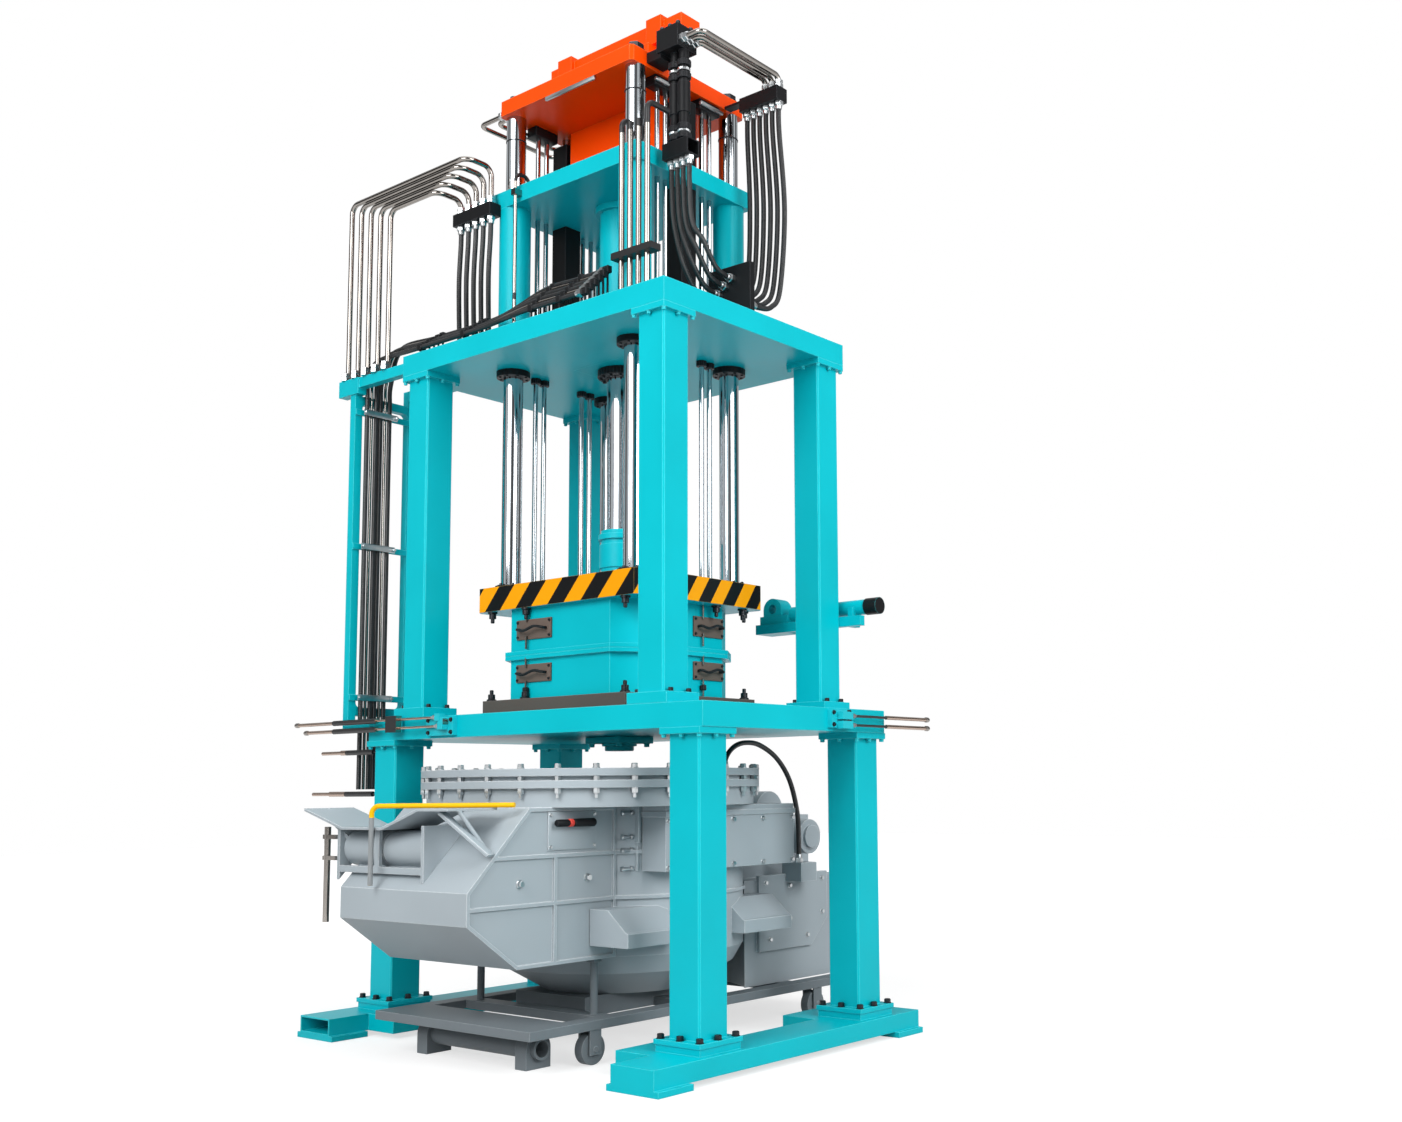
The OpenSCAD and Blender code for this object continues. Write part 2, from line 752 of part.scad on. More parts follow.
// Furnace body: round vessel with a dished belly, neck, wedge-shaped nose and stiffening ribs
rib_low = nose_low + 82;
rib_high = deck_z - 260;
module furnace_vessel() {
    r = vessel_d / 2;
    color(GREY) {
        rotate_extrude() polygon([[0, bed_z], [0.6 * r, bed_z], [0.92 * r, (bed_z + belly_z) / 2 + 20],
                                  [r, belly_z], [r, deck_z], [0, deck_z]]);
        for (z = [rib_low, rib_high]) bar(vessel_d + 2 * rib_out, z - rib_w / 2, rib_w);
        translate([0, -furnace_y, 0]) bar(neck_d, deck_z - 1, neck_h + 1);
        across(-body_w, 2 * body_w) nose_outline(0);
        for (x = [-body_w - rib_out, body_w - 1]) across(x, rib_out + 1) difference() {
            nose_outline(panel_y);
            nose_panels();
        }
        for (s = [-1, 1], y = [-520, 440]) translate([0, y, 0]) carrier(s);
    }
}

// Side outline of the nose, from its tip back to y
module nose_outline(y) {
    polygon([[slope_y, deck_z], [nose_y, nose_top], [nose_y, nose_low], [under_y, belly_z],
             [y, belly_z], [y, deck_z]]);
}

// The five panels between the ribs on the side of the nose
panel_y = 551;
split_y = 1000;
function slope_rib(z) = slope_y + (deck_z - z) / slope - rib_w * sqrt(1 + 1 / (slope * slope));
function under_rib(z) = nose_y - (nose_low - z) / under - rib_w * sqrt(1 + 1 / (under * under));
module nose_panels() {
    back = panel_y + rib_w;
    front = nose_y - rib_w;
    half = rib_w / 2;
    top = deck_z - rib_w;
    low = belly_z + rib_w;
    upper_tip = deck_z - slope * (front + rib_w * sqrt(1 + 1 / (slope * slope)) - slope_y);
    under_tip = nose_low - under * (nose_y - front - rib_w * sqrt(1 + 1 / (under * under)));
    polygon([[slope_rib(top), top], [slope_rib(rib_high + half), rib_high + half],
             [back, rib_high + half], [back, top]]);
    polygon([[slope_rib(rib_high - half), rib_high - half], [front, upper_tip], [front, rib_low + half],
             [split_y + half, rib_low + half], [split_y + half, rib_high - half]]);
    polygon([[front, rib_low - half], [front, under_tip], [under_rib(low), low], [split_y + half, low],
             [split_y + half, rib_low - half]]);
    translate([back, rib_low + half]) square([split_y - half - back, rib_high - rib_low - rib_w]);
    translate([back, low]) square([split_y - half - back, rib_low - half - low]);
}

// Wedge-shaped carrier welded on one side of the vessel
module carrier(s) {
    foot = belly_z + 77;
    inner = body_w + 5;
    outer = body_w + 305;
    w = 440;
    translate([0, w / 2, 0]) rotate([90, 0, 0]) linear_extrude(w) scale([s, 1])
        polygon([[inner, foot], [outer, foot], [outer, foot + 76], [outer - 20, foot + 84],
                 [outer - 160, foot + 200], [inner, foot + 200]]);
}

// Two bolted rings on the furnace neck
module furnace_rings() {
    color(GREY) translate([0, -furnace_y, 0]) {
        bar(ring_d, ring_top - ring_t, ring_t);
        bar(neck_d, ring_top - ring_t - ring_gap, ring_gap);
        bar(ring_d, ring_top - 2 * ring_t - ring_gap, ring_t);
    }
}

// Room for the ribbed vessel in the pieces that are fitted round it
module round_vessel(z, h) {
    $fn = 360;
    bar(vessel_d + 2 * rib_out + 0.6, z, h);
}

// Tail of the furnace behind the vessel: heater box, side plates with a cut corner, fan housing and drum
tail_top = deck_z - 490;
tail_w = 520;
cheek_t = 26;
socket_y = 1010;
module furnace_tail() {
    box_top = deck_z - 90;
    box_w = 350;
    box_y = tail_y - 150;
    low = deck_low + bar_h;
    cheek_top = tail_top + 26;
    color(GREY) {
        difference() {
            union() {
                span([-tail_w, 500, low], [tail_w, tail_y, tail_top]);
                span([-box_w, 500, tail_top], [box_w, box_y, box_top]);
            }
            round_vessel(low - 1, deck_z - low);
        }
        for (x = [-tail_w - cheek_t, tail_w]) across(x, cheek_t)
            polygon([[-700, cheek_top], [200 - tail_y, cheek_top], [200 - tail_y, cheek_top - 306],
                     [370 - tail_y, cheek_top - 476], [-700, cheek_top - 476]]);
        rod_x(280, -120, 1110, box_top + 20, box_w + 60);
        rod_x(226, box_w, 1190, box_top - 140, 220);
        rod_x(150, box_w + 220, 1190, box_top - 140, 24);
        span([tail_w - 1, socket_y - 50, tail_top - 20], [tail_w + 160, socket_y + 110, tail_top + 100]);
    }
}

// Cover box on the right of the furnace, with a lip along its top
cover_x = neck_d / 2 - 150;
module furnace_side_cover() {
    low = deck_z - 370;
    top = deck_z - 4;
    color(GREY) difference() {
        union() {
            span([400, -440, low], [cover_x, 700, top]);
            span([400, -446, top - 60], [cover_x + 10, 706, top - 30]);
        }
        round_vessel(low - 1, top - low + 2);
        span([0, -700, low - 1], [body_w + rib_out + 0.3, 0, top + 1]);
    }
}

// Charging spout on the nose: two cheeks on the slope, a ledge, a middle bar and the flared trough on top
trough_t = 14;
trough_z = deck_z - 112;
wing_z = deck_z - 10;
spout_y = nose_y - 33;
seat = 0.4;
module charging_cover() {
    front = nose_y + 25;
    back = slope_y + (deck_z - trough_z) / slope + 0.5;
    ledge = slope_at(spout_y - 30) + 12;
    color(GREY) {
        translate([0, -back, 0]) rotate([90, 0, 0]) linear_extrude(front - back)
            polygon([[-888, wing_z], [-521, trough_z], [-151, trough_z], [161, wing_z], [413, wing_z],
                     [413, wing_z + trough_t], [156, wing_z + trough_t], [-155, trough_z + trough_t],
                     [-517, trough_z + trough_t], [-888, wing_z + trough_t]]);
        for (x = [-640, 120]) across(x, 24)
            polygon([[back + 20, slope_at(back + 20) + seat], [spout_y, slope_at(spout_y) + seat],
                     [spout_y, trough_z + 24], [back + 20, trough_z + 24]]);
        span([-640, -spout_y, ledge], [144, -spout_y + 34, ledge + 36]);
        span([-290, -spout_y, ledge], [-250, -spout_y + 20, trough_z + 4]);
        link([-870, -front + 150, wing_z + 4], [-625, -spout_y + 100, trough_z - 60], 22);
        link([400, -front + 80, wing_z + 4], [470, -nose_y + 180, slope_at(nose_y - 180) + 26], 22);
    }
}

// Level probe held on the outer cheek of the spout by two clamps
probe_x = -737;
module level_probe() {
    color(STEEL) {
        translate([probe_x, -spout_y, 0]) bar(36, nose_low - 36, trough_z + 12 - nose_low + 36);
        for (z = [trough_z - 56, trough_z - 174])
            span([probe_x - 26, -spout_y - 15, z], [-640.3, -spout_y + 15, z + 24]);
    }
}

// Yellow handle of the spout: a tube laid over the trough's wing, bent down in front of the spout
handle_d = 27;
handle_l = 822;
module cover_handle() {
    z = wing_z + trough_t + handle_d / 2 + 0.2;
    color(YELLOW) translate([-210, -nose_y - cover_y + handle_d / 2, 0]) rotate([0, 0, 27])
        pipe([[handle_l, 0, z], [0, 0, z], [0, 0, nose_top + 20]], handle_d, 45);
}

// Black hose over the furnace rings, down to the socket on the tail
module furnace_hose() {
    x = tail_w + 100;
    color(BLACK) hose([[x, 279, ring_top], [x, 279, ring_top + 63], [x, 400, ring_top + 148],
                       [x, 640, ring_top + 143], [x, 900, ring_top - 32],
                       [x, socket_y, ring_top - 302], [x, socket_y, tail_top + 100]],
                      hose_d, [1, 0, 0], 4);
}

// Carriage under the furnace: two rails, a front plate, cross bars, the bed and two posts under the nose
front_y = 1270;
roller_y = -1040;
module carriage() {
    post_x = 490;
    post_y = -660;
    color(IRON) {
        for (s = [-1, 1]) {
            translate([s * carriage_x, 0, deck_low])
                span([-bar_w / 2, -front_y, 0], [bar_w / 2, tail_y - 60, bar_h]);
            translate([s * post_x, post_y, 0]) {
                bar(44, deck_low, belly_z - 0.3 - deck_low);
                plate(60, 60, belly_z - 20.3, 20);
            }
        }
        span([-carriage_x, -front_y, deck_low], [carriage_x, roller_y + 90, deck_low + bar_h]);
        for (y = [post_y, 55, 955]) translate([0, y, 0]) plate(2 * carriage_x, bar_w, deck_low, bar_h);
        plate(600, 1100, deck_low, bed_h + bar_h);
    }
}

// Four wheels in forks under the carriage rails
wheel_d = 170;
module carriage_wheels() {
    color(IRON) for (s = [-1, 1], y = [-800, 1150]) {
        x = s * carriage_x;
        rod_x(wheel_d, x - 28, y, wheel_d / 2, 56);
        rod_x(34, x - 52, y, wheel_d / 2, 104);
        for (k = [-48, 36]) span([x + k, y - 40, wheel_d / 2 - 30], [x + k + 12, y + 40, deck_low - 0.3]);
    }
}

// Roller tube under the front plate of the carriage
roller_z = 105;
roller_reach = 500;
module roller() {
    color(IRON) difference() {
        rod_x(roller_d, -roller_reach, roller_y, roller_z, 2 * roller_reach);
        rod_x(roller_d - 28, -roller_reach - 1, roller_y, roller_z, 2 * roller_reach + 2);
    }
}

// Saddle blocks that hold the roller between the floor and the carriage
saddle_t = 90;
module roller_saddles() {
    d = 2 * (deck_low - 0.3 - roller_z);
    color(IRON) for (x = [-roller_reach + 30, roller_reach - 30 - saddle_t]) difference() {
        union() {
            rod_x(d, x, roller_y, roller_z, saddle_t);
            span([x, roller_y - d / 2, 0], [x + saddle_t, roller_y + d / 2, roller_z]);
        }
        rod_x(roller_d + 0.6, x - 1, roller_y, roller_z, saddle_t + 2);
    }
}

// Moving platen with chamfered corners
module moving_platen() {
    color(AMBER) translate([0, 0, platen_z]) linear_extrude(platen_t)
        cut_corners(platen_x / 2, platen_y / 2, platen_chamfer, platen_chamfer);
}

// Guide columns from the moving platen to the crosshead
module guide_columns() {
    color(STEEL) at_corners(guide_x, guide_y) bar(guide_d, platen_top, cross_z - platen_top);
}

// Black flanges where the guide columns stand on the moving platen
flange_d = 196;
flange_t = 16;
module column_flanges() {
    color(BLACK) at_corners(guide_x, guide_y) difference() {
        bar(flange_d, platen_top, flange_t);
        bar(guide_d + 0.6, platen_top - 1, flange_t + 2);
    }
}

// Crosshead plate
module crosshead_plate() {
    color(ORANGE) translate([0, 0, cross_z]) linear_extrude(cross_t)
        cut_corners(cross_x / 2, cross_y / 2, cross_chamfer, cross_chamfer);
}

// Beam on the crosshead plate with its strap blocks, and the box under the plate
box_drop = cross_gap - 40;
module crosshead_beam() {
    w = cross_beam_w;
    end = cross_x / 2;
    color(ORANGE) {
        span([10 - end, -w / 2, cross_box_top], [end, w / 2, cross_box_top + cross_beam_h]);
        span([10 - end, -w / 2 - 60, cross_top], [end - 230, w / 2 + 60, cross_box_top]);
        for (x = [110 - end, end - 280])
            span([x, -w / 2 - 30, cross_box_top], [x + 130, w / 2 + 30, cross_box_top + cross_beam_h + 24]);
        span([180 - end, -60, cross_z - box_drop], [end - 180, 250, cross_z]);
    }
}

// Main piston rod
module piston_rod() {
    color(STEEL) bar(ram_d, platen_top + collar_h, ram_top - platen_top - collar_h);
}

// Stepped coupling that holds the piston rod on the moving platen
module rod_coupling() {
    foot = 120;
    color(CYAN) {
        bar(collar_d - 20, platen_top, collar_h);
        bar(collar_d + 60, platen_top, 40);
        bar(collar_d, platen_top + foot, collar_h - foot - 90);
        bar(collar_d + 14, platen_top + collar_h - 60, 34);
    }
}

// Rods of the lift cylinders
module lift_rods() {
    color(STEEL) for (s = [-1, 1]) translate([s * lift_x, 0, 0])
        bar(lift_rod_d, top_top + lift_head + 40, cross_z - top_top - lift_head - 40);
}

// Pairs of thin tie rods from the moving platen to the crosshead
module tie_rods() {
    color(STEEL) for (y = [tie_y - tie_pitch / 2, tie_y + tie_pitch / 2])
        at_corners(guide_x, y) bar(tie_d, platen_top, cross_z - platen_top);
}

// Manifold for the loop hoses, on a flat arm from the crosshead plate
loop_count = 6;
loop_pitch = 52;
loop_x = cross_x / 2 + 170;
loop_y = 350;
loop_w = 100;
loop_low = cross_z - 74;
loop_top = cross_z + 16;
module loop_manifold() {
    color(BLACK) {
        span([loop_x - loop_pitch / 2, loop_y - loop_w / 2, loop_low],
             [loop_x + loop_pitch * (loop_count - 0.5), loop_y + loop_w / 2, loop_top]);
        span([cross_x / 2, loop_y - 30, cross_z], [loop_x, loop_y + 30, loop_top]);
    }
}

// Steel pipes from the valve block to the loop manifold, and two loops at the other end of the crosshead
valve_x = cross_x / 2 + 270;
module manifold_pipes() {
    z = cross_z + 96;
    end = -cross_x / 2;
    color(STEEL) for (i = [0 : 2]) {
        x = loop_x + loop_pitch * (3 + i);
        y = stack_y + 47 - 47 * i;
        pipe([[valve_x, y, z], [x, y, z], [x, loop_y, z], [x, loop_y, loop_top]], pipe_d, 40);
    }
    color(STEEL) for (k = [0, 1]) translate([end, 0, cross_z + 40]) {
        reach = -265 + 115 * k;
        y0 = -460 + 50 * k;
        y1 = 165 - 65 * k;
        pipe([[0, y0, 0], [reach, y0, 0], [reach, y1, 0], [0, y1, 0]], pipe_d - 4, 50);
    }
}

// Valve block on the right of the crosshead, with its two thick pipes and the square tube that they end in
stack_x = cross_x / 2 + 114;
stack_y = -317;
stack_z = plate_z + 6;
stack_h = 98;
stack_l = 206;
stack_wall = 8;
module valve_stack() {
    top = stack_z + stack_h;
    block_z = cross_z + 46;
    color(BLACK) {
        span([cross_x / 2, stack_y - 70, cross_z + 20], [stack_x, stack_y + 70, cross_top - 14]);
        span([stack_x - 20, stack_y - 83, block_z], [valve_x, stack_y + 83, block_z + 140]);
        for (x = [stack_x + 60, stack_x + 130]) translate([x, stack_y, 0]) {
            bar(62, top, block_z - top);
            bar(78, top + 180, 190);
        }
        difference() {
            span([stack_x, stack_y - 53, stack_z], [stack_x + stack_l, stack_y + 53, top]);
            span([stack_x + 20, stack_y - 53 + stack_wall, stack_z + stack_wall],
                 [stack_x + stack_l + 1, stack_y + 53 - stack_wall, top - stack_wall]);
        }
    }
}

// Bracket on the top platen that the loop hoses and the centre hoses end on
bracket_y = 20;
bracket_t = 40;
bracket_h = 350;
module hose_bracket() {
    x0 = loop_x - 40;
    x1 = loop_x + loop_pitch * (loop_count - 1) + 40;
    color(BLACK) {
        span([x0, bracket_y, top_top], [x1, bracket_y + bracket_t, top_top + bracket_h]);
        span([x0, bracket_y - 40, top_top], [x1, bracket_y + bracket_t, top_top + 14]);
    }
}

// Hoses that hang in loops from the manifold to the bracket
module loop_hoses() {
    end_y = bracket_y + bracket_t;
    r = loop_y - end_y;
    color(BLACK) for (i = [0 : loop_count - 1]) {
        x = loop_x + loop_pitch * i;
        z = top_top + 270 - 34 * i;
        hose([[x, loop_y, loop_low], [x, loop_y, loop_low - 180],
              [x, loop_y + 20 + 6 * i, (loop_low + z) / 2], [x, loop_y, z + 0.6 * r],
              [x, loop_y - 0.3 * r, z + 0.12 * r], [x, loop_y - 0.7 * r, z], [x, end_y, z]],
             hose_d, [1, 0, 0], 2);
    }
}

// Hoses that hang from the square tube to the bracket
centre_count = 4;
centre_pitch = 48;
module centre_hoses() {
    color(BLACK) for (i = [0 : centre_count - 1]) {
        x = stack_x + 30 + centre_pitch * i;
        far = loop_x + loop_pitch * i;
        z = top_top + 150 + 40 * i;
        hose([[x, stack_y, stack_z], [x, stack_y, stack_z - 170], [x + 6, stack_y + 20, top_top + 510],
              [far, stack_y + 130, z + 110], [far, stack_y + 230, z], [far, bracket_y, z]],
             hose_d, [1, 0, 0], 3);
    }
}

// Puts the press axis at its place over the origin
module on_axis() {
    translate([axis_x, axis_y, 0]) children();
}

on_axis() left_base_beam();
on_axis() right_base_beam();
on_axis() front_left_lower_column();
on_axis() front_right_lower_column();
on_axis() back_left_lower_column();
on_axis() back_right_lower_column();
on_axis() fixed_platen();
on_axis() front_left_upper_column();
on_axis() front_right_upper_column();
on_axis() back_left_upper_column();
on_axis() back_right_upper_column();
on_axis() top_platen();
on_axis() guide_bushes();
on_axis() guide_sleeves();
on_axis() cylinder_plate();
on_axis() main_cylinder();
on_axis() lift_cylinders();
on_axis() hose_frame();
on_axis() frame_hoses();
on_axis() rising_pipes();
on_axis() left_manifold();
on_axis() drop_hoses();
on_axis() corner_pipes();
on_axis() front_tubes();
on_axis() side_tubes();
on_axis() side_cylinder();
on_axis() die_base_plate();
on_axis() lower_die();
on_axis() riser_neck();
on_axis() furnace_vessel();
on_axis() furnace_rings();
on_axis() furnace_tail();
on_axis() furnace_side_cover();
on_axis() charging_cover();
on_axis() level_probe();
on_axis() cover_handle();
on_axis() furnace_hose();
on_axis() carriage();
on_axis() carriage_wheels();
on_axis() roller();
on_axis() roller_saddles();
on_axis() moving_platen();
on_axis() upper_die();
on_axis() guide_columns();
on_axis() column_flanges();
on_axis() crosshead_plate();
on_axis() crosshead_beam();
on_axis() piston_rod();
on_axis() rod_coupling();
on_axis() lift_rods();
on_axis() tie_rods();
on_axis() loop_manifold();
on_axis() manifold_pipes();
on_axis() valve_stack();
on_axis() hose_bracket();
on_axis() loop_hoses();
on_axis() centre_hoses();
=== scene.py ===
import math

import bpy
from mathutils import Matrix, Vector


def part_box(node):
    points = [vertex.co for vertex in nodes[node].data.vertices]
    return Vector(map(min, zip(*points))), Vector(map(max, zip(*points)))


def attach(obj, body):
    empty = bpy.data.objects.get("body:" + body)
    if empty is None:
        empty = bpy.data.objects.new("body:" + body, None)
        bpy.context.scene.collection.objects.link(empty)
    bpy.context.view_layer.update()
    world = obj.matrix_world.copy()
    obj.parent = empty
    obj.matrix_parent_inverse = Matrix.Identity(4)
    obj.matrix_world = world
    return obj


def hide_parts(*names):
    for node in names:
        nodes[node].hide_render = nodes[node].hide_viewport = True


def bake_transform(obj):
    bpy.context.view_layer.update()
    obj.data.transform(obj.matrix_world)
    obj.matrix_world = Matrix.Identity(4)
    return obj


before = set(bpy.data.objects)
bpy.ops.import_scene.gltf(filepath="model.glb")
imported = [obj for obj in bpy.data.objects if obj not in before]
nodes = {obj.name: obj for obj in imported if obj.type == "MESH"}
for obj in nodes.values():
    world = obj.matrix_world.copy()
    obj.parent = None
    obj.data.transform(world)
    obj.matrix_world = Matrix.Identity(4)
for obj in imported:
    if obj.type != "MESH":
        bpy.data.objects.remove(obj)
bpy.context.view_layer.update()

# The view: a stand in front of the near corner, at eye height, with the lens pointing a little up. The
# lens, its shift and its turn come from the straight edges of the press in the photograph.
eye_place = (6.8255, -6.2385, 1.489)
eye_heading = math.radians(37.64)
eye_tilt = math.radians(95.9)
eye_roll = math.radians(-0.6)
eye = bpy.data.objects.new("camera", bpy.data.cameras.new("camera"))
bpy.context.scene.collection.objects.link(eye)
eye.data.sensor_width = 36
eye.data.lens = 36.53
eye.data.shift_x = -0.0905
eye.data.shift_y = 0.0558
eye.data.clip_end = 100
turn = Matrix.Rotation(eye_heading, 4, "Z") @ Matrix.Rotation(eye_tilt, 4, "X")
eye.matrix_world = Matrix.Translation(eye_place) @ turn @ Matrix.Rotation(eye_roll, 4, "Z")
bpy.context.scene.camera = eye
bpy.context.scene.view_settings.view_transform = "Standard"


# The studio: a pale floor that runs to white, wall panels that only reflections see, and three large
# soft lamps. The panels are light and dark in turn and give bare metal its upright streaks.
def linear(code):
    """An sRGB hex colour as linear red, green, blue and alpha."""
    channels = [int(code[i:i + 2], 16) / 255 for i in (0, 2, 4)]
    return [c / 12.92 if c <= 0.04045 else ((c + 0.055) / 1.055) ** 2.4 for c in channels] + [1]


def add(tree, kind, links=None, **settings):
    """Adds a node and gives its outputs; links holds values for its sockets, or outputs that feed them."""
    made = tree.nodes.new("ShaderNode" + kind)
    for name, value in settings.items():
        setattr(made, name, value)
    for socket, value in (links or {}).items():
        if isinstance(value, bpy.types.NodeSocket):
            tree.links.new(value, made.inputs[socket])
        else:
            made.inputs[socket].default_value = value
    return made.outputs


def begin(name):
    """A new material with its node tree and its shader."""
    made = bpy.data.materials.new(name)
    made.use_nodes = True
    return made, made.node_tree, made.node_tree.nodes["Principled BSDF"]


panel_pairs = 7
studio = bpy.data.worlds.new("studio")
bpy.context.scene.world = studio
studio.use_nodes = True
tree = studio.node_tree
place = add(tree, "TexCoord")["Generated"]
heading = add(tree, "TexGradient", {"Vector": place}, gradient_type="RADIAL")["Fac"]
wave = add(tree, "Math", {0: heading, 1: 2 * math.pi * panel_pairs}, operation="MULTIPLY")[0]
panel = add(tree, "Math", {0: wave}, operation="SINE")[0]
dark_to_light = {"From Min": -0.6, "From Max": 0.3, "To Min": 0.10, "To Max": 0.72}
wall = add(tree, "MapRange", {"Value": panel, **dark_to_light})[0]
level = add(tree, "Mix", {0: add(tree, "LightPath")["Is Camera Ray"], 2: wall, 3: 1.0})[0]
tree.links.new(level, tree.nodes["Background"].inputs["Strength"])
tree.nodes["Background"].inputs["Color"].default_value = linear("ffffff")

bpy.ops.object.select_all(action="DESELECT")
bpy.ops.mesh.primitive_plane_add(size=60, location=(0, 0, -0.001))
floor = bpy.context.object
floor.name = "studio_floor"
# Pale studio floor: a matte grey that glows more and more with distance, so that no horizon shows.
white, tree, shader = begin("pale studio floor")
rays = add(tree, "LightPath")
seen = add(tree, "Math", {0: rays["Is Camera Ray"], 1: rays["Is Glossy Ray"]}, operation="MAXIMUM")[0]
away = add(tree, "VectorMath", {0: add(tree, "TexCoord")["Object"]}, operation="LENGTH")["Value"]
near_to_far = {"From Min": 3.0, "From Max": 9.0, "To Min": 0.66, "To Max": 0.95}
paler = add(tree, "MapRange", {"Value": away, **near_to_far})[0]
glow = add(tree, "Math", {0: seen, 1: paler}, operation="MULTIPLY")[0]
shader.inputs["Base Color"].default_value = linear("a6a6a6")
shader.inputs["Roughness"].default_value = 0.9
shader.inputs["Emission Color"].default_value = linear("ffffff")
tree.links.new(glow, shader.inputs["Emission Strength"])
floor.data.materials.append(white)

lamp_target = Vector((0, 0, 2.5))
for name, place, size, power in (
    ("key_light", (2.0, -11.0, 8.0), 7.0, 1180),
    ("side_light", (12.0, -1.0, 7.0), 7.0, 1080),
    ("top_light", (0.0, 0.0, 14.0), 10.0, 500),
):
    lamp = bpy.data.objects.new(name, bpy.data.lights.new(name, "AREA"))
    bpy.context.scene.collection.objects.link(lamp)
    lamp.data.size = size
    lamp.data.energy = power
    aim = (lamp_target - Vector(place)).to_track_quat("-Z", "Y").to_matrix().to_4x4()
    lamp.matrix_world = Matrix.Translation(place) @ aim

# The floor beams: welded rectangular steel tube that lies on the floor, one under the two columns of
# each side. They are sprayed in the cyan two-pack enamel of the whole frame.
edge_radius = 0.006
patch_size = 0.625
ripple_size = 0.02


def enamel(name, code, edge, rough=0.34, pattern=None):
    """Sprayed enamel in a colour, or in a pattern from it, with a painted highlight in a paler one on its
    edges.
    """
    made, tree, shader = begin(name)
    place = add(tree, "TexCoord")["Object"]
    face = add(tree, "NewGeometry")["Normal"]
    round_edge = add(tree, "Bevel", {"Radius": edge_radius}, samples=4)["Normal"]
    agree = add(tree, "VectorMath", {0: face, 1: round_edge}, operation="DOT_PRODUCT")["Value"]
    on_edge = add(tree, "MapRange", {"Value": agree, "From Min": 0.999, "From Max": 0.9})[0]
    patches = add(tree, "TexNoise", {"Vector": place, "Scale": 1 / patch_size, "Detail": 3})["Fac"]
    cloudy = {"Value": patches, "From Min": 0.3, "From Max": 0.7, "To Min": 0.94, "To Max": 1.04}
    tone = add(tree, "MapRange", cloudy)[0]
    colour = pattern(tree, place, linear(code)) if pattern else linear(code)
    coat = add(tree, "HueSaturation", {"Color": colour, "Value": tone})[0]
    # Painted highlight: the paler colour goes where the rounded normal leaves the flat one, less on
    # patterns.
    edge_highlight_share = 0.3 if pattern else 1.0
    edge_highlight_mask = add(tree, "Math", {0: on_edge, 1: edge_highlight_share}, operation="MULTIPLY")[0]
    edge_highlit_coat = add(tree, "Mix", {0: edge_highlight_mask, 6: coat, 7: linear(edge)}, data_type="RGBA")[2]
    skin = add(tree, "TexNoise", {"Vector": place, "Scale": 1 / ripple_size, "Detail": 1})["Fac"]
    ripples = {"Height": skin, "Strength": 0.05, "Distance": 0.002, "Normal": round_edge}
    bump = add(tree, "Bump", ripples)[0]
    gloss = add(tree, "MapRange", {"Value": patches, "To Min": rough - 0.06, "To Max": rough + 0.08})[0]
    shader.inputs["Specular IOR Level"].default_value = 0.14
    tree.links.new(edge_highlit_coat, shader.inputs["Base Color"])
    tree.links.new(gloss, shader.inputs["Roughness"])
    tree.links.new(bump, shader.inputs["Normal"])
    return made


def finish_in(material, *names):
    """Gives carried-over pieces a material."""
    for name in names:
        for slot in nodes[name].material_slots:
            slot.material = material


# Cyan enamel: a clear blue green with a soft sheen, faint ripples and a pale painted highlight on its edges.
cyan_code = "00b9c6"
cyan_edge_highlight = "4fe0e6"
cyan = enamel("cyan enamel", cyan_code, cyan_edge_highlight)
finish_in(cyan, "left_base_beam", "right_base_beam")

# The lower columns: square steel tube between welded plates in the cyan enamel. Hexagon bolts on washers
# hold their feet to the beams and their heads to the fixed platen.
platen_low, platen_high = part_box("moving_platen")
axis = (platen_low + platen_high) / 2


def at(x, y, z):
    """A point given from the press axis and the floor in millimetres, in metres in the row frame."""
    return Vector((axis.x + x / 1000, axis.y + y / 1000, z / 1000))


def standing(points):
    """Upright places at points."""
    return [Matrix.Translation(p) for p in points]


def hanging(points):
    """Places at points, upside down."""
    return [Matrix.Translation(p) @ Matrix.Rotation(math.pi, 4, "X") for p in points]


def turned(profile, sides=20):
    """A round or many-sided piece on the z axis, drawn up ring by ring through radii and heights."""
    bpy.ops.object.select_all(action="DESELECT")
    (radius, height), *rest = profile
    foot = (0, 0, height)
    bpy.ops.mesh.primitive_circle_add(vertices=sides, radius=radius, fill_type="NGON", location=foot)
    bpy.ops.object.mode_set(mode="EDIT")
    bpy.ops.mesh.select_all(action="SELECT")
    for wide, tall in rest:
        bpy.ops.mesh.extrude_region_move(TRANSFORM_OT_translate={"value": (0, 0, tall - height)})
        bpy.ops.transform.resize(value=(wide / radius, wide / radius, 1), center_override=(0, 0, 0))
        radius, height = wide, tall
    bpy.ops.object.mode_set(mode="OBJECT")
    return bpy.context.object


def joined(pieces):
    """Several meshes as one."""
    bpy.ops.object.select_all(action="DESELECT")
    for piece in pieces:
        piece.select_set(True)
    bpy.context.view_layer.objects.active = pieces[0]
    if len(pieces) > 1:
        bpy.ops.object.join()
    return bpy.context.object


def copied(piece):
    """A copy of a modelled piece, with its own mesh."""
    copy = piece.copy()
    copy.data = piece.data.copy()
    bpy.context.scene.collection.objects.link(copy)
    return copy


def repeated(piece, places):
    """Copies of a modelled piece at places, joined into one; the model goes."""
    bpy.context.view_layer.update()
    own = piece.matrix_world.copy()
    copies = []
    for place in places:
        copy = copied(piece)
        copy.matrix_world = place @ own
        copies.append(copy)
    bpy.data.objects.remove(piece)
    return joined(copies)


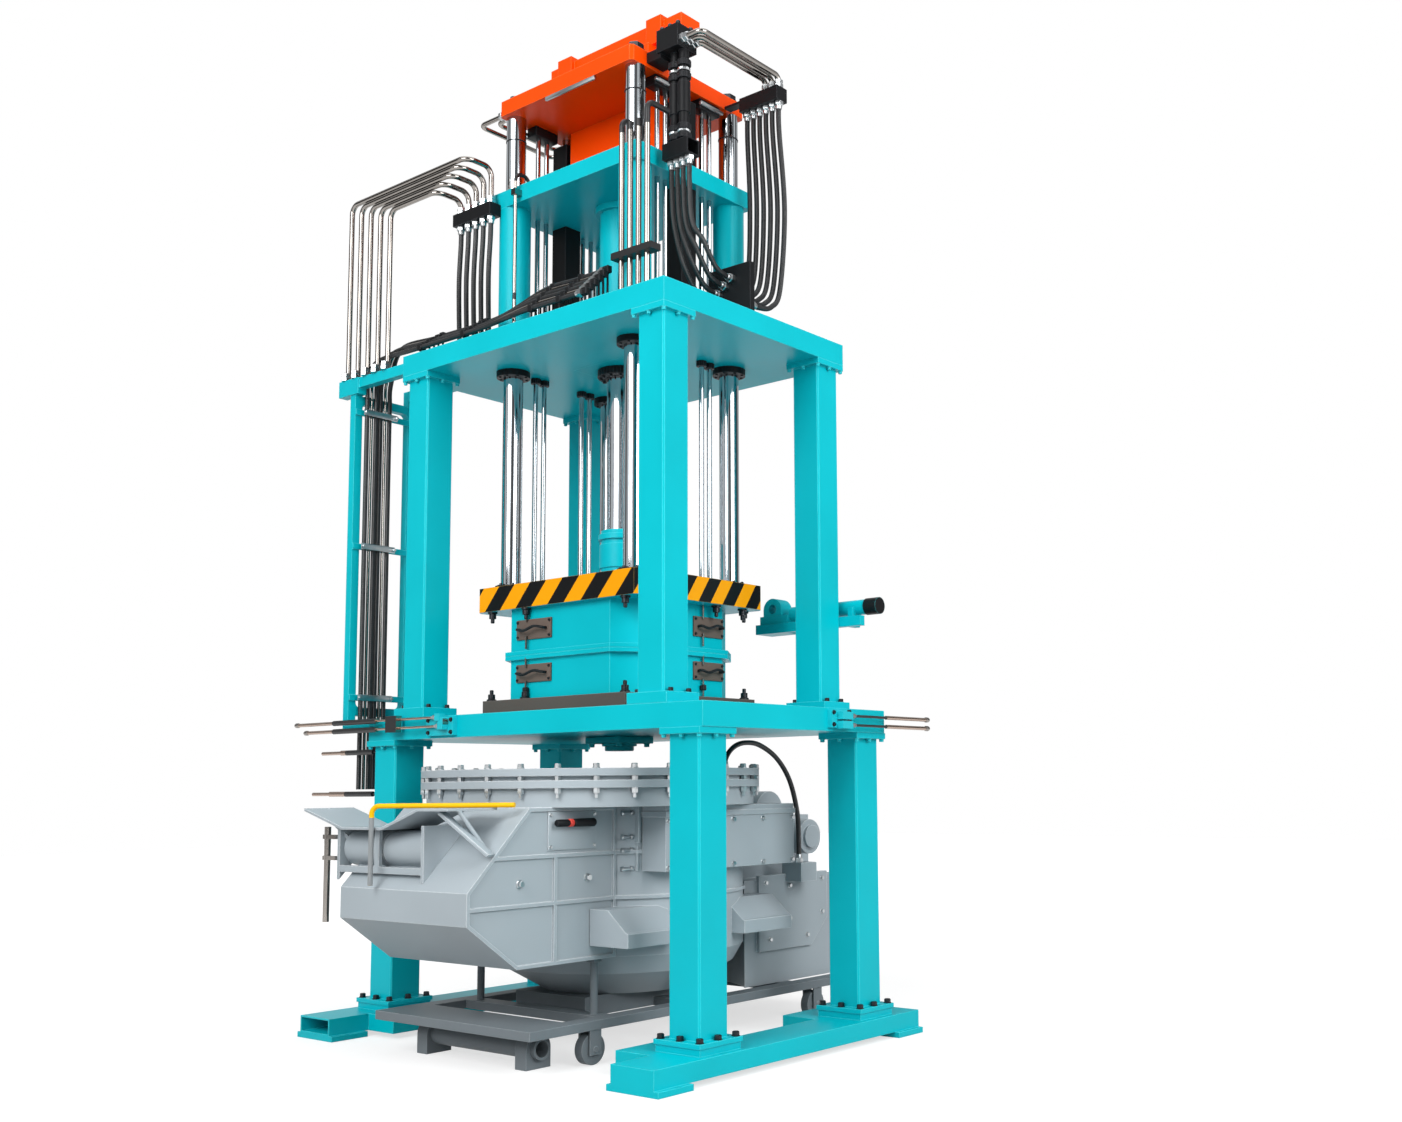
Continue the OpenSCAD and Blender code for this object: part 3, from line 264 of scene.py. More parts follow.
def bolt(width, height):
    """A hexagon head with its corners turned off, on a washer; it stands on z = 0."""
    washer = turned([(0.66 * width, 0), (0.66 * width, 0.1 * width), (0.6 * width, 0.14 * width)], 16)
    head = turned([(0.577 * width, 0.1 * width), (0.577 * width, 0.85 * height), (0.47 * width, height)], 6)
    return joined([washer, head])


def done(piece, name, body, material):
    """Names a piece, puts its place into its mesh, turns its faces out, gives its finish and its body."""
    bpy.ops.object.select_all(action="DESELECT")
    piece.select_set(True)
    bpy.context.view_layer.objects.active = piece
    bpy.ops.object.transform_apply(location=True, rotation=True, scale=True)
    bpy.ops.object.mode_set(mode="EDIT")
    bpy.ops.mesh.select_all(action="SELECT")
    bpy.ops.mesh.normals_make_consistent(inside=False)
    bpy.ops.object.mode_set(mode="OBJECT")
    bpy.ops.object.shade_smooth_by_angle(angle=math.radians(35))
    piece.name = piece.data.name = name
    piece.data.materials.clear()
    piece.data.materials.append(material)
    if body:
        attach(piece, body)
    return piece


mark_size = 0.111


def bright(name, code, rough):
    """Bare metal in a colour, with soft marks of its making in its tone and its gloss."""
    made, tree, shader = begin(name)
    place = add(tree, "TexCoord")["Object"]
    marks = add(tree, "TexNoise", {"Vector": place, "Scale": 1 / mark_size, "Detail": 2})["Fac"]
    gloss = add(tree, "MapRange", {"Value": marks, "To Min": rough * 0.9, "To Max": rough * 1.1})[0]
    cloudy = {"Value": marks, "From Min": 0.3, "From Max": 0.7, "To Min": 0.9, "To Max": 1.0}
    tone = add(tree, "MapRange", cloudy)[0]
    metal = add(tree, "HueSaturation", {"Color": linear(code), "Value": tone})[0]
    shader.inputs["Metallic"].default_value = 1
    tree.links.new(metal, shader.inputs["Base Color"])
    tree.links.new(gloss, shader.inputs["Roughness"])
    return made


# Blackened steel: nearly black, with a dull glint of metal on the flats of each head.
blackened = bright("blackened steel", "3a3b3e", 0.38)
corners = [(a, b) for a in (-1, 1) for b in (-1, 1)]
around = [(a, b) for a in (-1, 0, 1) for b in (-1, 0, 1) if (a, b) != (0, 0)]
column_names = ("front_left", "front_right", "back_left", "back_right")
lower_x = 1305
column_y = 685
foot_top = 196
head_under = 1772


def by_columns(column_x, out_x, out_y, height, sides):
    """Points beside the four columns: so far out from the middle of each, at a height."""
    steps = [(a, b, out_x * u, out_y * v) for a, b in corners for u, v in sides]
    return [at(column_x * a + x, column_y * b + y, height) for a, b, x, y in steps]


finish_in(cyan, *[c + "_lower_column" for c in column_names])
bolts = repeated(bolt(0.034, 0.026), standing(by_columns(lower_x, 138, 138, foot_top, around)))
done(bolts, "foot_bolts", "press_frame", blackened)
bolts = repeated(bolt(0.024, 0.018), hanging(by_columns(lower_x, 128, 128, head_under, around)))
done(bolts, "head_plate_bolts", "press_frame", cyan)

# The fixed platen: thick flame-cut plate, milled and sprayed in the cyan enamel. It lies on the head
# plates of the four lower columns and carries everything above it.
finish_in(cyan, "fixed_platen")

# The riser flange under the fixed platen: a square plate with a turned socket for the riser below it, in
# the cyan enamel, held by four bolts. The casting metal comes up through it into the die.
flange_under = 1767
fixed_under = 1807


def block(start, end, edge=0.003):
    """A box between two corners with bevelled edges."""
    bpy.ops.object.select_all(action="DESELECT")
    bpy.ops.mesh.primitive_cube_add(size=1, location=(start + end) / 2)
    made = bpy.context.object
    made.scale = [abs(v) for v in end - start]
    bpy.ops.object.transform_apply(location=True, rotation=True, scale=True)
    bpy.ops.object.mode_set(mode="EDIT")
    bpy.ops.mesh.select_all(action="SELECT")
    bpy.ops.mesh.bevel(offset=edge, segments=2, affect="EDGES")
    bpy.ops.object.mode_set(mode="OBJECT")
    return made


flange = block(at(-150, -150, flange_under), at(150, 150, fixed_under), 0.004)
socket = turned([(0.085, 1.722), (0.090, 1.726), (0.090, 1.750), (0.108, 1.752), (0.108, 1.769)], 32)
socket = repeated(socket, standing([at(0, 0, 0)]))
heads = repeated(bolt(0.030, 0.022), hanging([at(120 * a, 120 * b, flange_under) for a, b in corners]))
flange = done(joined([flange, socket, heads]), "riser_flange", "press_frame", cyan)
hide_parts("riser_neck")

# The upper columns: smaller square steel tube in the cyan enamel, with a welded head plate bolted under
# the top platen. Each stands on a base block that four black bolts hold to the fixed platen.
upper_x = 1045
cap_under = 4120
block_top = 2005
finish_in(cyan, *[c + "_upper_column" for c in column_names])
bolts = repeated(bolt(0.022, 0.018), hanging(by_columns(upper_x, 115, 115, cap_under, around)))
done(bolts, "cap_plate_bolts", "press_frame", cyan)
bolts = repeated(bolt(0.026, 0.022), standing(by_columns(upper_x, 126, 70, block_top, corners)))
done(bolts, "block_bolts", "press_frame", blackened)

# The top platen, the cylinder plate and the sleeves between them: steel plate and tube in the cyan
# enamel. Black bush flanges guide the columns under the top platen, each held by eight screws.
guide_x = 549
guide_y = 422
bush_under = 4115
finish_in(cyan, "top_platen", "cylinder_plate", "guide_sleeves", "main_cylinder")
# Black enamel: a soft black with a painted grey highlight on its edges, to keep blocks apart from the hoses.
black_code = "17181a"
black = enamel("black enamel", black_code, "3a3c40", rough=0.42)
finish_in(black, "guide_bushes", "lift_cylinders")


def circle(x, y, z, radius, count):
    """Points round an upright axis, half a step from its right side on."""
    turns = [2 * math.pi * (k + 0.5) / count for k in range(count)]
    return [at(x + radius * math.cos(t), y + radius * math.sin(t), z) for t in turns]


spots = [p for a, b in corners for p in circle(guide_x * a, guide_y * b, bush_under, 88, 8)]
done(repeated(bolt(0.016, 0.007), hanging(spots)), "bush_screws", "press_frame", blackened)

# The gland under the main cylinder and the collars round the tie rods: turned steel rings in black
# enamel that the rods slide through, screwed to the underside of the top platen.
top_under = 4.1545
gland_under = 4.105
collar_under = 4.120
tie_y = 200
tie_half = 36


def ring(inner, outer, foot, top, edge=0.004, steps=40):
    """A ring round the z axis: a flat section with cut corners, spun once round."""
    bpy.ops.object.select_all(action="DESELECT")
    bpy.ops.mesh.primitive_plane_add(size=1, rotation=(math.pi / 2, 0, 0))
    made = bpy.context.object
    made.scale = (outer - inner, top - foot, 1)
    made.location = ((inner + outer) / 2, 0, (foot + top) / 2)
    bpy.ops.object.transform_apply(location=True, rotation=True, scale=True)
    bpy.ops.object.mode_set(mode="EDIT")
    bpy.ops.mesh.select_all(action="SELECT")
    bpy.ops.mesh.bevel(offset=edge, affect="VERTICES")
    bpy.ops.mesh.select_all(action="SELECT")
    bpy.ops.mesh.spin(steps=steps, angle=2 * math.pi, center=(0, 0, 0), axis=(0, 0, 1))
    bpy.ops.mesh.select_all(action="SELECT")
    bpy.ops.mesh.remove_doubles(threshold=0.0002)
    bpy.ops.object.mode_set(mode="OBJECT")
    return made


gland = repeated(ring(0.0915, 0.150, gland_under, top_under), standing([at(0, 0, 0)]))
done(gland, "piston_gland", "press_frame", black)
spots = [at(guide_x * a, b * (tie_y + k), 0) for a, b in corners for k in (-tie_half, tie_half)]
collars = repeated(ring(0.0172, 0.033, collar_under, top_under, 0.002, 16), standing(spots))
done(collars, "tie_rod_collars", "press_frame", black)
screws = repeated(bolt(0.018, 0.014), hanging(circle(0, 0, 1000 * gland_under, 126, 12)))
done(screws, "gland_screws", "press_frame", blackened)

# The moving platen: a milled steel plate with hazard stripes sprayed on its four sides and cyan enamel
# above and below. The guide columns stand on it in black flanges, each held by six screws.
front_pitch = 0.292
side_pitch = 0.214
stripe_lean = 0.9
stripe_start = 0.2
flange_top = 2766


def hazard(tree, place, amber):
    """Leaning amber and black stripes on upright faces, cyan on level ones."""
    rise = Vector((1 / front_pitch, 1 / side_pitch, -stripe_lean / front_pitch))
    along = add(tree, "VectorMath", {0: place, 1: rise}, operation="DOT_PRODUCT")["Value"]
    start = rise.dot(platen_low) - stripe_start
    count = add(tree, "Math", {0: along, 1: start}, operation="SUBTRACT")[0]
    phase = add(tree, "Math", {0: count}, operation="FRACT")[0]
    dark = add(tree, "Math", {0: phase, 1: 0.5}, operation="GREATER_THAN")[0]
    striped = add(tree, "Mix", {0: dark, 6: amber, 7: linear("131415")}, data_type="RGBA")[2]
    upward = add(tree, "SeparateXYZ", {0: add(tree, "NewGeometry")["Normal"]})[2]
    steep = add(tree, "Math", {0: upward}, operation="ABSOLUTE")[0]
    level = add(tree, "Math", {0: steep, 1: 0.5}, operation="GREATER_THAN")[0]
    return add(tree, "Mix", {0: level, 6: striped, 7: linear(cyan_code)}, data_type="RGBA")[2]


# Hazard striped enamel: leaning stripes of amber and black with hard edges, the first thing to be seen.
finish_in(enamel("hazard striped enamel", "f8a204", "ffcf70", pattern=hazard), "moving_platen")
finish_in(cyan, "rod_coupling")
finish_in(black, "column_flanges")
spots = [p for a, b in corners for p in circle(guide_x * a, guide_y * b, flange_top, 80, 6)]
screws = repeated(bolt(0.018, 0.014), standing(spots))
done(screws, "flange_screws", "moving_frame", blackened)

# The die: two cast steel halves in cyan enamel, with rims that meet at the parting. The lower one stands
# on a milled steel base plate, and the upper one hangs from the moving platen.
finish_in(cyan, "lower_die", "upper_die")
# Milled die steel: a warm dark grey, duller than the enamel round it, as if handled and heated.
finish_in(enamel("milled die steel", "5a514c", "7d746d", rough=0.5), "die_base_plate")

# The die clamps: black steel flange nuts on studs that clamp the die. They hang from the moving platen
# and stand on the base plate and, past its edge, on the fixed platen.
moving_under = 2598
base_top = 2038
base_half_x = 630
fixed_top = 1943
profile = [(0.030, 0), (0.030, 0.010), (0.022, 0.014), (0.022, 0.042)]
profile += [(0.012, 0.044), (0.012, 0.066), (0.009, 0.070)]
stud = turned(profile, 16)
spots = [(x, s * y) for s in (-1, 1) for x, y in ((-601, 520), (-273, 530), (582, 520))]
spots += [(s * 662, y) for s in (-1, 1) for y in (172, 414)]
clamps = repeated(copied(stud), hanging([at(x, y, moving_under) for x, y in spots]))
done(clamps, "upper_die_clamps", "moving_frame", blackened)
spots = [at(x, y, base_top if abs(x) < base_half_x else fixed_top) for x, y in spots]
done(repeated(stud, standing(spots)), "lower_die_clamps", "press_frame", blackened)


# The cover plates of the die: milled steel, browned by heat, screwed to the sides of each half. Each has
# a bent black handle across it and a thin locating rod above and below it.
def slab(width, depth, height, edge=0.003):
    """A box round the origin with bevelled edges, with its sizes in metres."""
    half = Vector((width, depth, height)) / 2
    return block(-half, half, edge)


def smooth(points, steps=8):
    """Points along a smooth curve through the given ones, with so many steps between neighbours."""
    last = len(points) - 1
    line = []
    for i in range(last):
        a, b, c, d = (points[k] for k in (max(i - 1, 0), i, i + 1, min(i + 2, last)))
        square, cube = 2 * a - 5 * b + 4 * c - d, 3 * b - a - 3 * c + d
        for t in (k / steps for k in range(steps)):
            line.append((2 * b + (c - a) * t + square * t ** 2 + cube * t ** 3) / 2)
    return line + [points[last]]


def tube(line, diameter):
    """A round tube along a line, drawn as a curve with a round section and turned into a mesh."""
    wire = bpy.data.curves.new("tube", "CURVE")
    wire.dimensions = "3D"
    wire.bevel_depth = diameter / 2
    wire.bevel_resolution = 3
    wire.use_fill_caps = True
    spline = wire.splines.new("POLY")
    spline.points.add(len(line) - 1)
    for point, place in zip(spline.points, line):
        point.co = (*place, 1)
    made = bpy.data.objects.new("tube", wire)
    bpy.context.scene.collection.objects.link(made)
    bpy.ops.object.select_all(action="DESELECT")
    made.select_set(True)
    bpy.context.view_layer.objects.active = made
    bpy.ops.object.convert(target="MESH")
    return bpy.context.object


def handle(width, reach, thick):
    """A bow handle in the xz plane, its feet on y = 0 and its bar in front of them."""
    half = width / 2
    bow = [(-half, 0, 0), (-half, -reach, 0), (-0.4 * half, -1.15 * reach, -0.3 * reach)]
    bow += [(0.4 * half, -1.15 * reach, 0.3 * reach), (half, -reach, 0), (half, 0, 0)]
    return tube(smooth([Vector(p) for p in bow], 6), thick)


def facing(place, direction):
    """Where a piece that stands on its foot goes, with its top turned in a direction."""
    return Matrix.Translation(place) @ Vector(direction).to_track_quat("Z", "Y").to_matrix().to_4x4()


# Drawn steel: a warm grey mirror, a little clouded, that draws the studio out along each bar and pipe.
drawn_code = "96918c"
drawn_rough = 0.13
drawn = bright("drawn steel", drawn_code, drawn_rough)
# Browned plate steel: a dark brown with rust red edges paled by a painted highlight; it sets the plates off
# from the cyan.
browned = enamel("browned plate steel", "6b5d55", "8f4a35", rough=0.46)
sides = (-1, 1)
plate_x = -218
plate_y = 160
screw_inset = 16
nut_foot = 2076
front_bow = handle(0.23, 0.035, 0.017)
side_bow = handle(0.19, 0.035, 0.017)
screw = bolt(0.014, 0.009)
for half_name, body, foot, top, rod_spans in (
    ("upper", "moving_frame", 2404, 2527, ((2345, 2424), (2515, 2598))),
    ("lower", "press_frame", 2140, 2250, ((2230, 2294), (2040, 2150))),
):
    middle = (foot + top) / 2
    tall = (top - foot) / 1000
    spots = [at(plate_x, s * 510.5, middle) for s in sides]
    plates = [repeated(slab(0.316, 0.013, tall), standing(spots))]
    spots = [at(s * 605.5, plate_y, middle) for s in sides]
    plates.append(repeated(slab(0.013, 0.266, tall), standing(spots)))
    done(joined(plates), f"{half_name}_cover_plates", body, browned)
    rows = [(s, z) for s in sides for z in (foot + screw_inset, top - screw_inset)]
    places = [facing(at(x, s * 516.5, z), (0, s, 0)) for s, z in rows for x in (-362, -74)]
    places += [facing(at(s * 611.5, y, z), (s, 0, 0)) for s, z in rows for y in (41, 279)]
    handles = [repeated(copied(screw), places)]
    turns = {s: Matrix.Rotation(math.pi * (s > 0), 4, "Z") for s in sides}
    places = [Matrix.Translation(at(plate_x, s * 516, middle)) @ turns[s] for s in sides]
    handles.append(repeated(copied(front_bow), places))
    turns = {s: Matrix.Rotation(s * math.pi / 2, 4, "Z") for s in sides}
    places = [Matrix.Translation(at(s * 611, plate_y, middle)) @ turns[s] for s in sides]
    handles.append(repeated(copied(side_bow), places))
    spots = [(x, y) for s in sides for x, y in ((-276, s * 524), (s * 619, 100))]
    if half_name == "lower":
        nut = turned([(0.016, 0), (0.020, 0.004), (0.020, 0.030), (0.014, 0.034)], 8)
        handles.append(repeated(nut, standing([at(x, y, nut_foot) for x, y in spots])))
    done(joined(handles), f"{half_name}_cover_handles", body, black)
    rods = []
    for start, end in rod_spans:
        length = (end - start) / 1000
        pin = turned([(0.007, 0), (0.007, length - 0.002), (0.005, length)], 10)
        rods.append(repeated(pin, standing([at(x, y, start) for x, y in spots])))
    done(joined(rods), f"{half_name}_locating_rods", body, drawn)
for model in (front_bow, side_bow, screw):
    bpy.data.objects.remove(model)

# The guide columns, piston, lift rods and tie rods: ground and hard chromed steel bar between the moving
# platen and the crosshead. A black stop ring sits near the top of each guide column.
# Hard chrome: a clear mirror that shows the press and the studio in bright and dark upright streaks.
finish_in(bright("hard chrome", "c2c8cd", 0.06), "guide_columns", "piston_rod", "lift_rods", "tie_rods")
spots = [at(guide_x * a, guide_y * b, 0) for a, b in corners]
stop_rings = repeated(ring(0.0626, 0.0660, 5.690, 5.698, 0.001, 32), standing(spots))
done(stop_rings, "stop_rings", "moving_frame", black)

# The crosshead: welded steel plate and beam in orange enamel on the upper ends of the guide columns,
# where a large nut holds each. A plated strip is screwed under its front edge.
crosshead_under = 5854
crosshead_top = 5952
# Orange enamel: a strong red orange with the sheen of the cyan and a lighter painted highlight on its edges.
finish_in(enamel("orange enamel", "fa4a00", "ff7a3c"), "crosshead_plate", "crosshead_beam")
spots = [at(guide_x * a, guide_y * b, crosshead_top) for a, b in corners]
done(repeated(bolt(0.090, 0.050), standing(spots)), "column_nuts", "moving_frame", blackened)
# Zinc plated steel: a pale cool silver with blurred reflections, the brightest of the small parts.
zinc = bright("zinc plated steel", "c4c8ca", 0.3)
strip = block(at(-165, -516, 5828), at(284, -500, 5853))
done(strip, "crosshead_strip", "moving_frame", zinc)

# The end blocks of the tie rods: steel blocks in black enamel, bolted under the crosshead, that take two
# rods each. A plated bar is screwed across the outer face of each.
block_tall = 0.065
spots = [at(guide_x * a, tie_y * b, crosshead_under - 1000 * block_tall / 2) for a, b in corners]
blocks = repeated(slab(0.090, 0.190, block_tall, 0.006), standing(spots))
done(blocks, "tie_rod_blocks", "moving_frame", black)
spots = [at(603.5 * a, tie_y * b, 5816) for a, b in corners]
bars = repeated(slab(0.021, 0.210, 0.022, 0.004), standing(spots))
done(bars, "tie_rod_bars", "moving_frame", zinc)

# The manifolds, the valve block and the hose bracket: machined steel in black enamel, bolted to the
# crosshead and the top platen. Plated screw-in unions sit where the pipes leave them.
ports = [-951 + 75 * (k + 0.5) for k in range(5)]
loops = [780 + 52 * k for k in range(6)]
drop_y = -570
loop_y = 350
thick_y = -317
thick_x = (784, 854)
left_manifold_top = 5250
loop_manifold_top = 5870
top_platen_top = 4290
finish_in(black, "left_manifold", "loop_manifold", "valve_stack", "hose_bracket")
profile = [(0.030, 0), (0.030, 0.022), (0.026, 0.026), (0.026, 0.028)]
profile += [(0.028, 0.030), (0.028, 0.05), (0.023, 0.054)]
union = turned(profile, 6)
spots = [at(x, drop_y, left_manifold_top) for x in ports]
spots += [at(-1840 + 110 * k, -793, 4255) for k in range(5)]
spots += [at(620 + 70 * k, -600, top_platen_top) for k in range(4)]
done(repeated(copied(union), standing(spots)), "pipe_unions", "press_frame", zinc)
places = standing([at(x, loop_y, loop_manifold_top) for x in loops[3:]])
places += [facing(at(880, thick_y + y, 5950), (1, 0, 0)) for y in (47, 0, -47)]
places += [facing(at(-610, y, 5894), (-1, 0, 0)) for y in (-460, 165, -410, 100)]
done(repeated(union, places), "crosshead_unions", "moving_frame", zinc)

# The couplings on the two thick pipes below the valve block: turned steel collars in black enamel, two
# pairs on each pipe, with a plated nut between the collars of each pair.
spots = [at(x, thick_y, z) for z in (5345, 5400, 5720, 5800) for x in thick_x]
collars = repeated(ring(0.0312, 0.044, 0, 0.036, 0.004, 24), standing(spots))
done(collars, "pipe_couplings", "moving_frame", black)
spots = [at(x, thick_y, z) for z in (5384, 5770) for x in thick_x]
nuts = repeated(ring(0.0312, 0.040, 0, 0.016, 0.003, 12), standing(spots))
done(nuts, "coupling_nuts", "moving_frame", zinc)

# The screws on the valve block: blackened steel hexagon heads on washers. Six of them hold the cover of
# the block down, in two rows.
valve_top = 6040
spots = [at(x, y, valve_top) for x in (735, 800, 865) for y in (-380, -270)]
screws = repeated(bolt(0.026, 0.020), standing(spots))
done(screws, "valve_screws", "moving_frame", blackened)

# The pipes: drawn steel tube, bent cold and left bare, screwed into the unions. The elbows over the
# cylinder plate and the clamp bar of the corner pipes are painted black.
finish_in(drawn, "rising_pipes", "manifold_pipes", "level_probe")


def banded(*bands):
    """A pattern that changes along a piece: each band has an axis, its ends in metres and its colour."""
    def pattern(tree, place, colour):
        parts = add(tree, "SeparateXYZ", {0: place})
        for along, start, end, code in bands:
            above = add(tree, "Math", {0: parts[along], 1: start}, operation="GREATER_THAN")[0]
            below = add(tree, "Math", {0: parts[along], 1: end}, operation="LESS_THAN")[0]
            inside = add(tree, "Math", {0: above, 1: below}, operation="MULTIPLY")[0]
            colour = add(tree, "Mix", {0: inside, 6: colour, 7: linear(code)}, data_type="RGBA")[2]
        return colour
    return pattern


def part_bright(name, code, rough, bands):
    """Bare metal with painted bands: each has an axis, its ends in metres and its colour."""
    made, tree, shader = begin(name)
    place = add(tree, "TexCoord")["Object"]
    marks = add(tree, "TexNoise", {"Vector": place, "Scale": 1 / mark_size, "Detail": 2})["Fac"]
    bare = banded(*[(along, start, end, "000000") for along, start, end, _ in bands])
    metal = bare(tree, place, linear("ffffff"))
    colour = banded(*bands)(tree, place, linear(code))
    gloss = add(tree, "MapRange", {"Value": marks, "To Min": rough * 0.8, "To Max": rough * 1.3})[0]
    dull = add(tree, "Mix", {0: metal, 2: 0.42, 3: gloss})[0]
    tree.links.new(metal, shader.inputs["Metallic"])
    tree.links.new(colour, shader.inputs["Base Color"])
    tree.links.new(dull, shader.inputs["Roughness"])
    return made


# Drawn steel with black elbows: the same warm grey mirror, broken by dull black where it is painted.
bands = [(2, 5.345, 7, black_code), (2, 4.569, 4.611, black_code)]
finish_in(part_bright("drawn steel with black elbows", drawn_code, drawn_rough, bands), "corner_pipes")

# The core tubes: copper-washed steel rods in black sleeves, on cyan steel plates that are screwed to the
# fixed platen. Plated nuts hold them at the plates, and each ends in a rounded knob.
# Copper washed steel: a pinkish grey metal, seen as bare bands between the black sleeves.
copper_code = "ad9a8e"
copper_rough = 0.2
tube_y = -862
tube_x = 1506
tube_drop = 54
front_tube_z = 1931
side_tube_z = 1897
bands = [(0, axis.x - 1.77, axis.x - 1.30, black_code), (0, axis.x - 1.18, axis.x - 1.07, black_code)]
bands += [(1, axis.y - 0.843, axis.y - 0.80, cyan_code), (0, axis.x - 0.691, axis.x - 0.609, cyan_code)]
finish_in(part_bright("copper washed steel", copper_code, copper_rough, bands), "front_tubes")
bands = [(0, axis.x + 1.40, axis.x + 1.487, cyan_code), (1, axis.y + 0.40, axis.y + 0.76, black_code)]
bands += [(1, axis.y + 0.25, axis.y + 0.4002, cyan_code)]
finish_in(part_bright("copper washed steel on the side", copper_code, copper_rough, bands), "side_tubes")
profile = [(0.021, 0), (0.021, 0.020), (0.018, 0.024), (0.014, 0.024), (0.014, 0.046), (0.011, 0.050)]
places = [facing(at(-690 + 30 * k, tube_y, front_tube_z - tube_drop * k), (-1, 0, 0)) for k in (0, 1)]
places += [facing(at(tube_x, 400, side_tube_z - tube_drop * k), (0, 1, 0)) for k in (0, 1)]
done(repeated(turned(profile, 6), places), "core_tube_nuts", "press_frame", zinc)
profile = [(0.008, -0.004), (0.014, 0), (0.0165, 0.008), (0.0165, 0.030), (0.0125, 0.040)]
places = [facing(at(-2210 + 110 * k, tube_y, front_tube_z - tube_drop * k), (1, 0, 0)) for k in (0, 1)]
places += [facing(at(tube_x, 1220, side_tube_z - tube_drop * k), (0, -1, 0)) for k in (0, 1)]
done(repeated(turned(profile, 16), places), "core_tube_knobs", "press_frame", drawn)
places = [facing(at(x, -842, z), (0, -1, 0)) for x in (-800, -580) for z in (1840, 1915)]
places += [facing(at(1486, y, z), (1, 0, 0)) for y in (268, 422) for z in (1845, 1915)]
done(repeated(bolt(0.020, 0.012), places), "tube_plate_screws", "press_frame", blackened)

# The side cylinder: a steel barrel in cyan enamel with a black end cap. It lies on a flat arm that is
# bolted to the back right upper column.
# Cyan enamel with a black cap: the coat of the frame, cut off sharply where the dull black cap starts.
bands = banded((0, axis.x + 1.2845, axis.x + 1.382, black_code), (2, 2, 2.545, cyan_code))
finish_in(enamel("cyan enamel with a black cap", cyan_code, cyan_edge_highlight, pattern=bands), "side_cylinder")

# The furnace: a welded steel casing with stiffening ribs in blue grey enamel. Its two rings are drawn
# together by plated bolts all round, with nuts in the gap and long nuts below.
furnace_y = -220
ring_bolts = 30
ring_top = 1602
ring_gap = 1536
ring_under = 1494
# Blue grey enamel: a flat, cool pale grey; a nearly white painted highlight on its edges draws out every
# rib.
grey = enamel("blue grey enamel", "a4aeb4", "e6ebee", rough=0.4)
finish_in(grey, "furnace_vessel", "furnace_rings", "furnace_tail", "furnace_side_cover", "charging_cover")
bolts = repeated(bolt(0.032, 0.026), standing(circle(0, furnace_y, ring_top, 996, ring_bolts)))
done(bolts, "ring_bolts", "press_frame", zinc)
nut = turned([(0.019, 0), (0.019, 0.022), (0.016, 0.024)], 6)
nuts = repeated(nut, standing(circle(0, furnace_y, ring_gap, 997, ring_bolts)))
done(nuts, "ring_nuts", "press_frame", zinc)
profile = [(0.019, 0), (0.019, 0.026), (0.016, 0.030), (0.010, 0.030), (0.010, 0.052), (0.008, 0.055)]
tails = repeated(turned(profile, 6), hanging(circle(0, furnace_y, ring_under, 997, ring_bolts)))
done(tails, "ring_tails", "press_frame", zinc)

# The small hardware on the casing: zinc plated steel. Studs sit in the panels of the nose, and hexagon
# screws on washers hold the side cover and the plates of the tail.
nose_side = 535
cover_side = 830
tail_side = 546
places = [facing(at(s * nose_side, y, z), (s, 0, 0)) for s in sides for y, z in ((-1240, 990), (-760, 1000))]
done(repeated(bolt(0.034, 0.026), places), "casing_studs", "press_frame", zinc)
tail_screws = ((760, 880), (1000, 850), (1340, 880), (1340, 660), (1180, 520), (800, 520), (1000, 640))
places = [facing(at(cover_side, y, z), (1, 0, 0)) for y in (-420, -150, 130, 400, 680) for z in (1040, 1300)]
places += [facing(at(tail_side, y, z), (1, 0, 0)) for y, z in tail_screws]
done(repeated(bolt(0.024, 0.018), places), "cover_screws", "press_frame", zinc)

# The inspection plate on the nose: a thin steel plate in the blue grey enamel, held by four plated
# screws. A black turned grip lies across it on two posts, with a red ring round it.
grip_z = 1305
plate_face = 544
plate = block(at(534, -1052, 1158), at(plate_face, -700, 1368))
done(plate, "inspection_plate", "press_frame", grey)
places = [facing(at(plate_face, y, z), (1, 0, 0)) for y in (-1035, -717) for z in (1176, 1350)]
screws = repeated(bolt(0.016, 0.011), places)
places = [facing(at(plate_face - 1, y, grip_z), (1, 0, 0)) for y in (-960, -790)]
posts = repeated(turned([(0.012, 0), (0.012, 0.026), (0.010, 0.03)], 12), places)
done(joined([screws, posts]), "inspection_screws", "press_frame", zinc)
along_grip = facing(at(584, -1030, grip_z), (0, 1, 0))
profile = [(0.016, 0), (0.020, 0.006), (0.020, 0.08), (0.013, 0.084), (0.013, 0.12)]
profile += [(0.022, 0.125), (0.024, 0.27), (0.018, 0.28)]
done(repeated(turned(profile), [along_grip]), "inspection_grip", "press_frame", black)
# Red enamel: one small clear red against the black of the grip.
red = enamel("red enamel", "c8141a", "ff6a5a")
collar = repeated(ring(0.0125, 0.022, 0.088, 0.116, 0.003, 24), [along_grip])
done(collar, "grip_ring", "press_frame", red)

# The hinge plates on the front of the side cover: two flat steel plates in the blue grey enamel, one
# above the other. A turned and plated pin goes through each of their ends.
hinge_front = -466
cover_front = -445.5
hinges = [block(at(556, hinge_front, 1180), at(640, cover_front, 1386))]
hinges += [block(at(566, hinge_front, 1020), at(630, cover_front, 1165))]
done(joined(hinges), "hinge_plates", "press_frame", grey)
profile = [(0.016, 0), (0.016, 0.02), (0.010, 0.022), (0.010, 0.07)]
profile += [(0.015, 0.072), (0.015, 0.09), (0.011, 0.095)]
places = [facing(at(598, hinge_front, z), (0, -1, 0)) for z in (1350, 1215, 1140, 1035)]
done(repeated(turned(profile, 14), places), "hinge_pins", "press_frame", zinc)

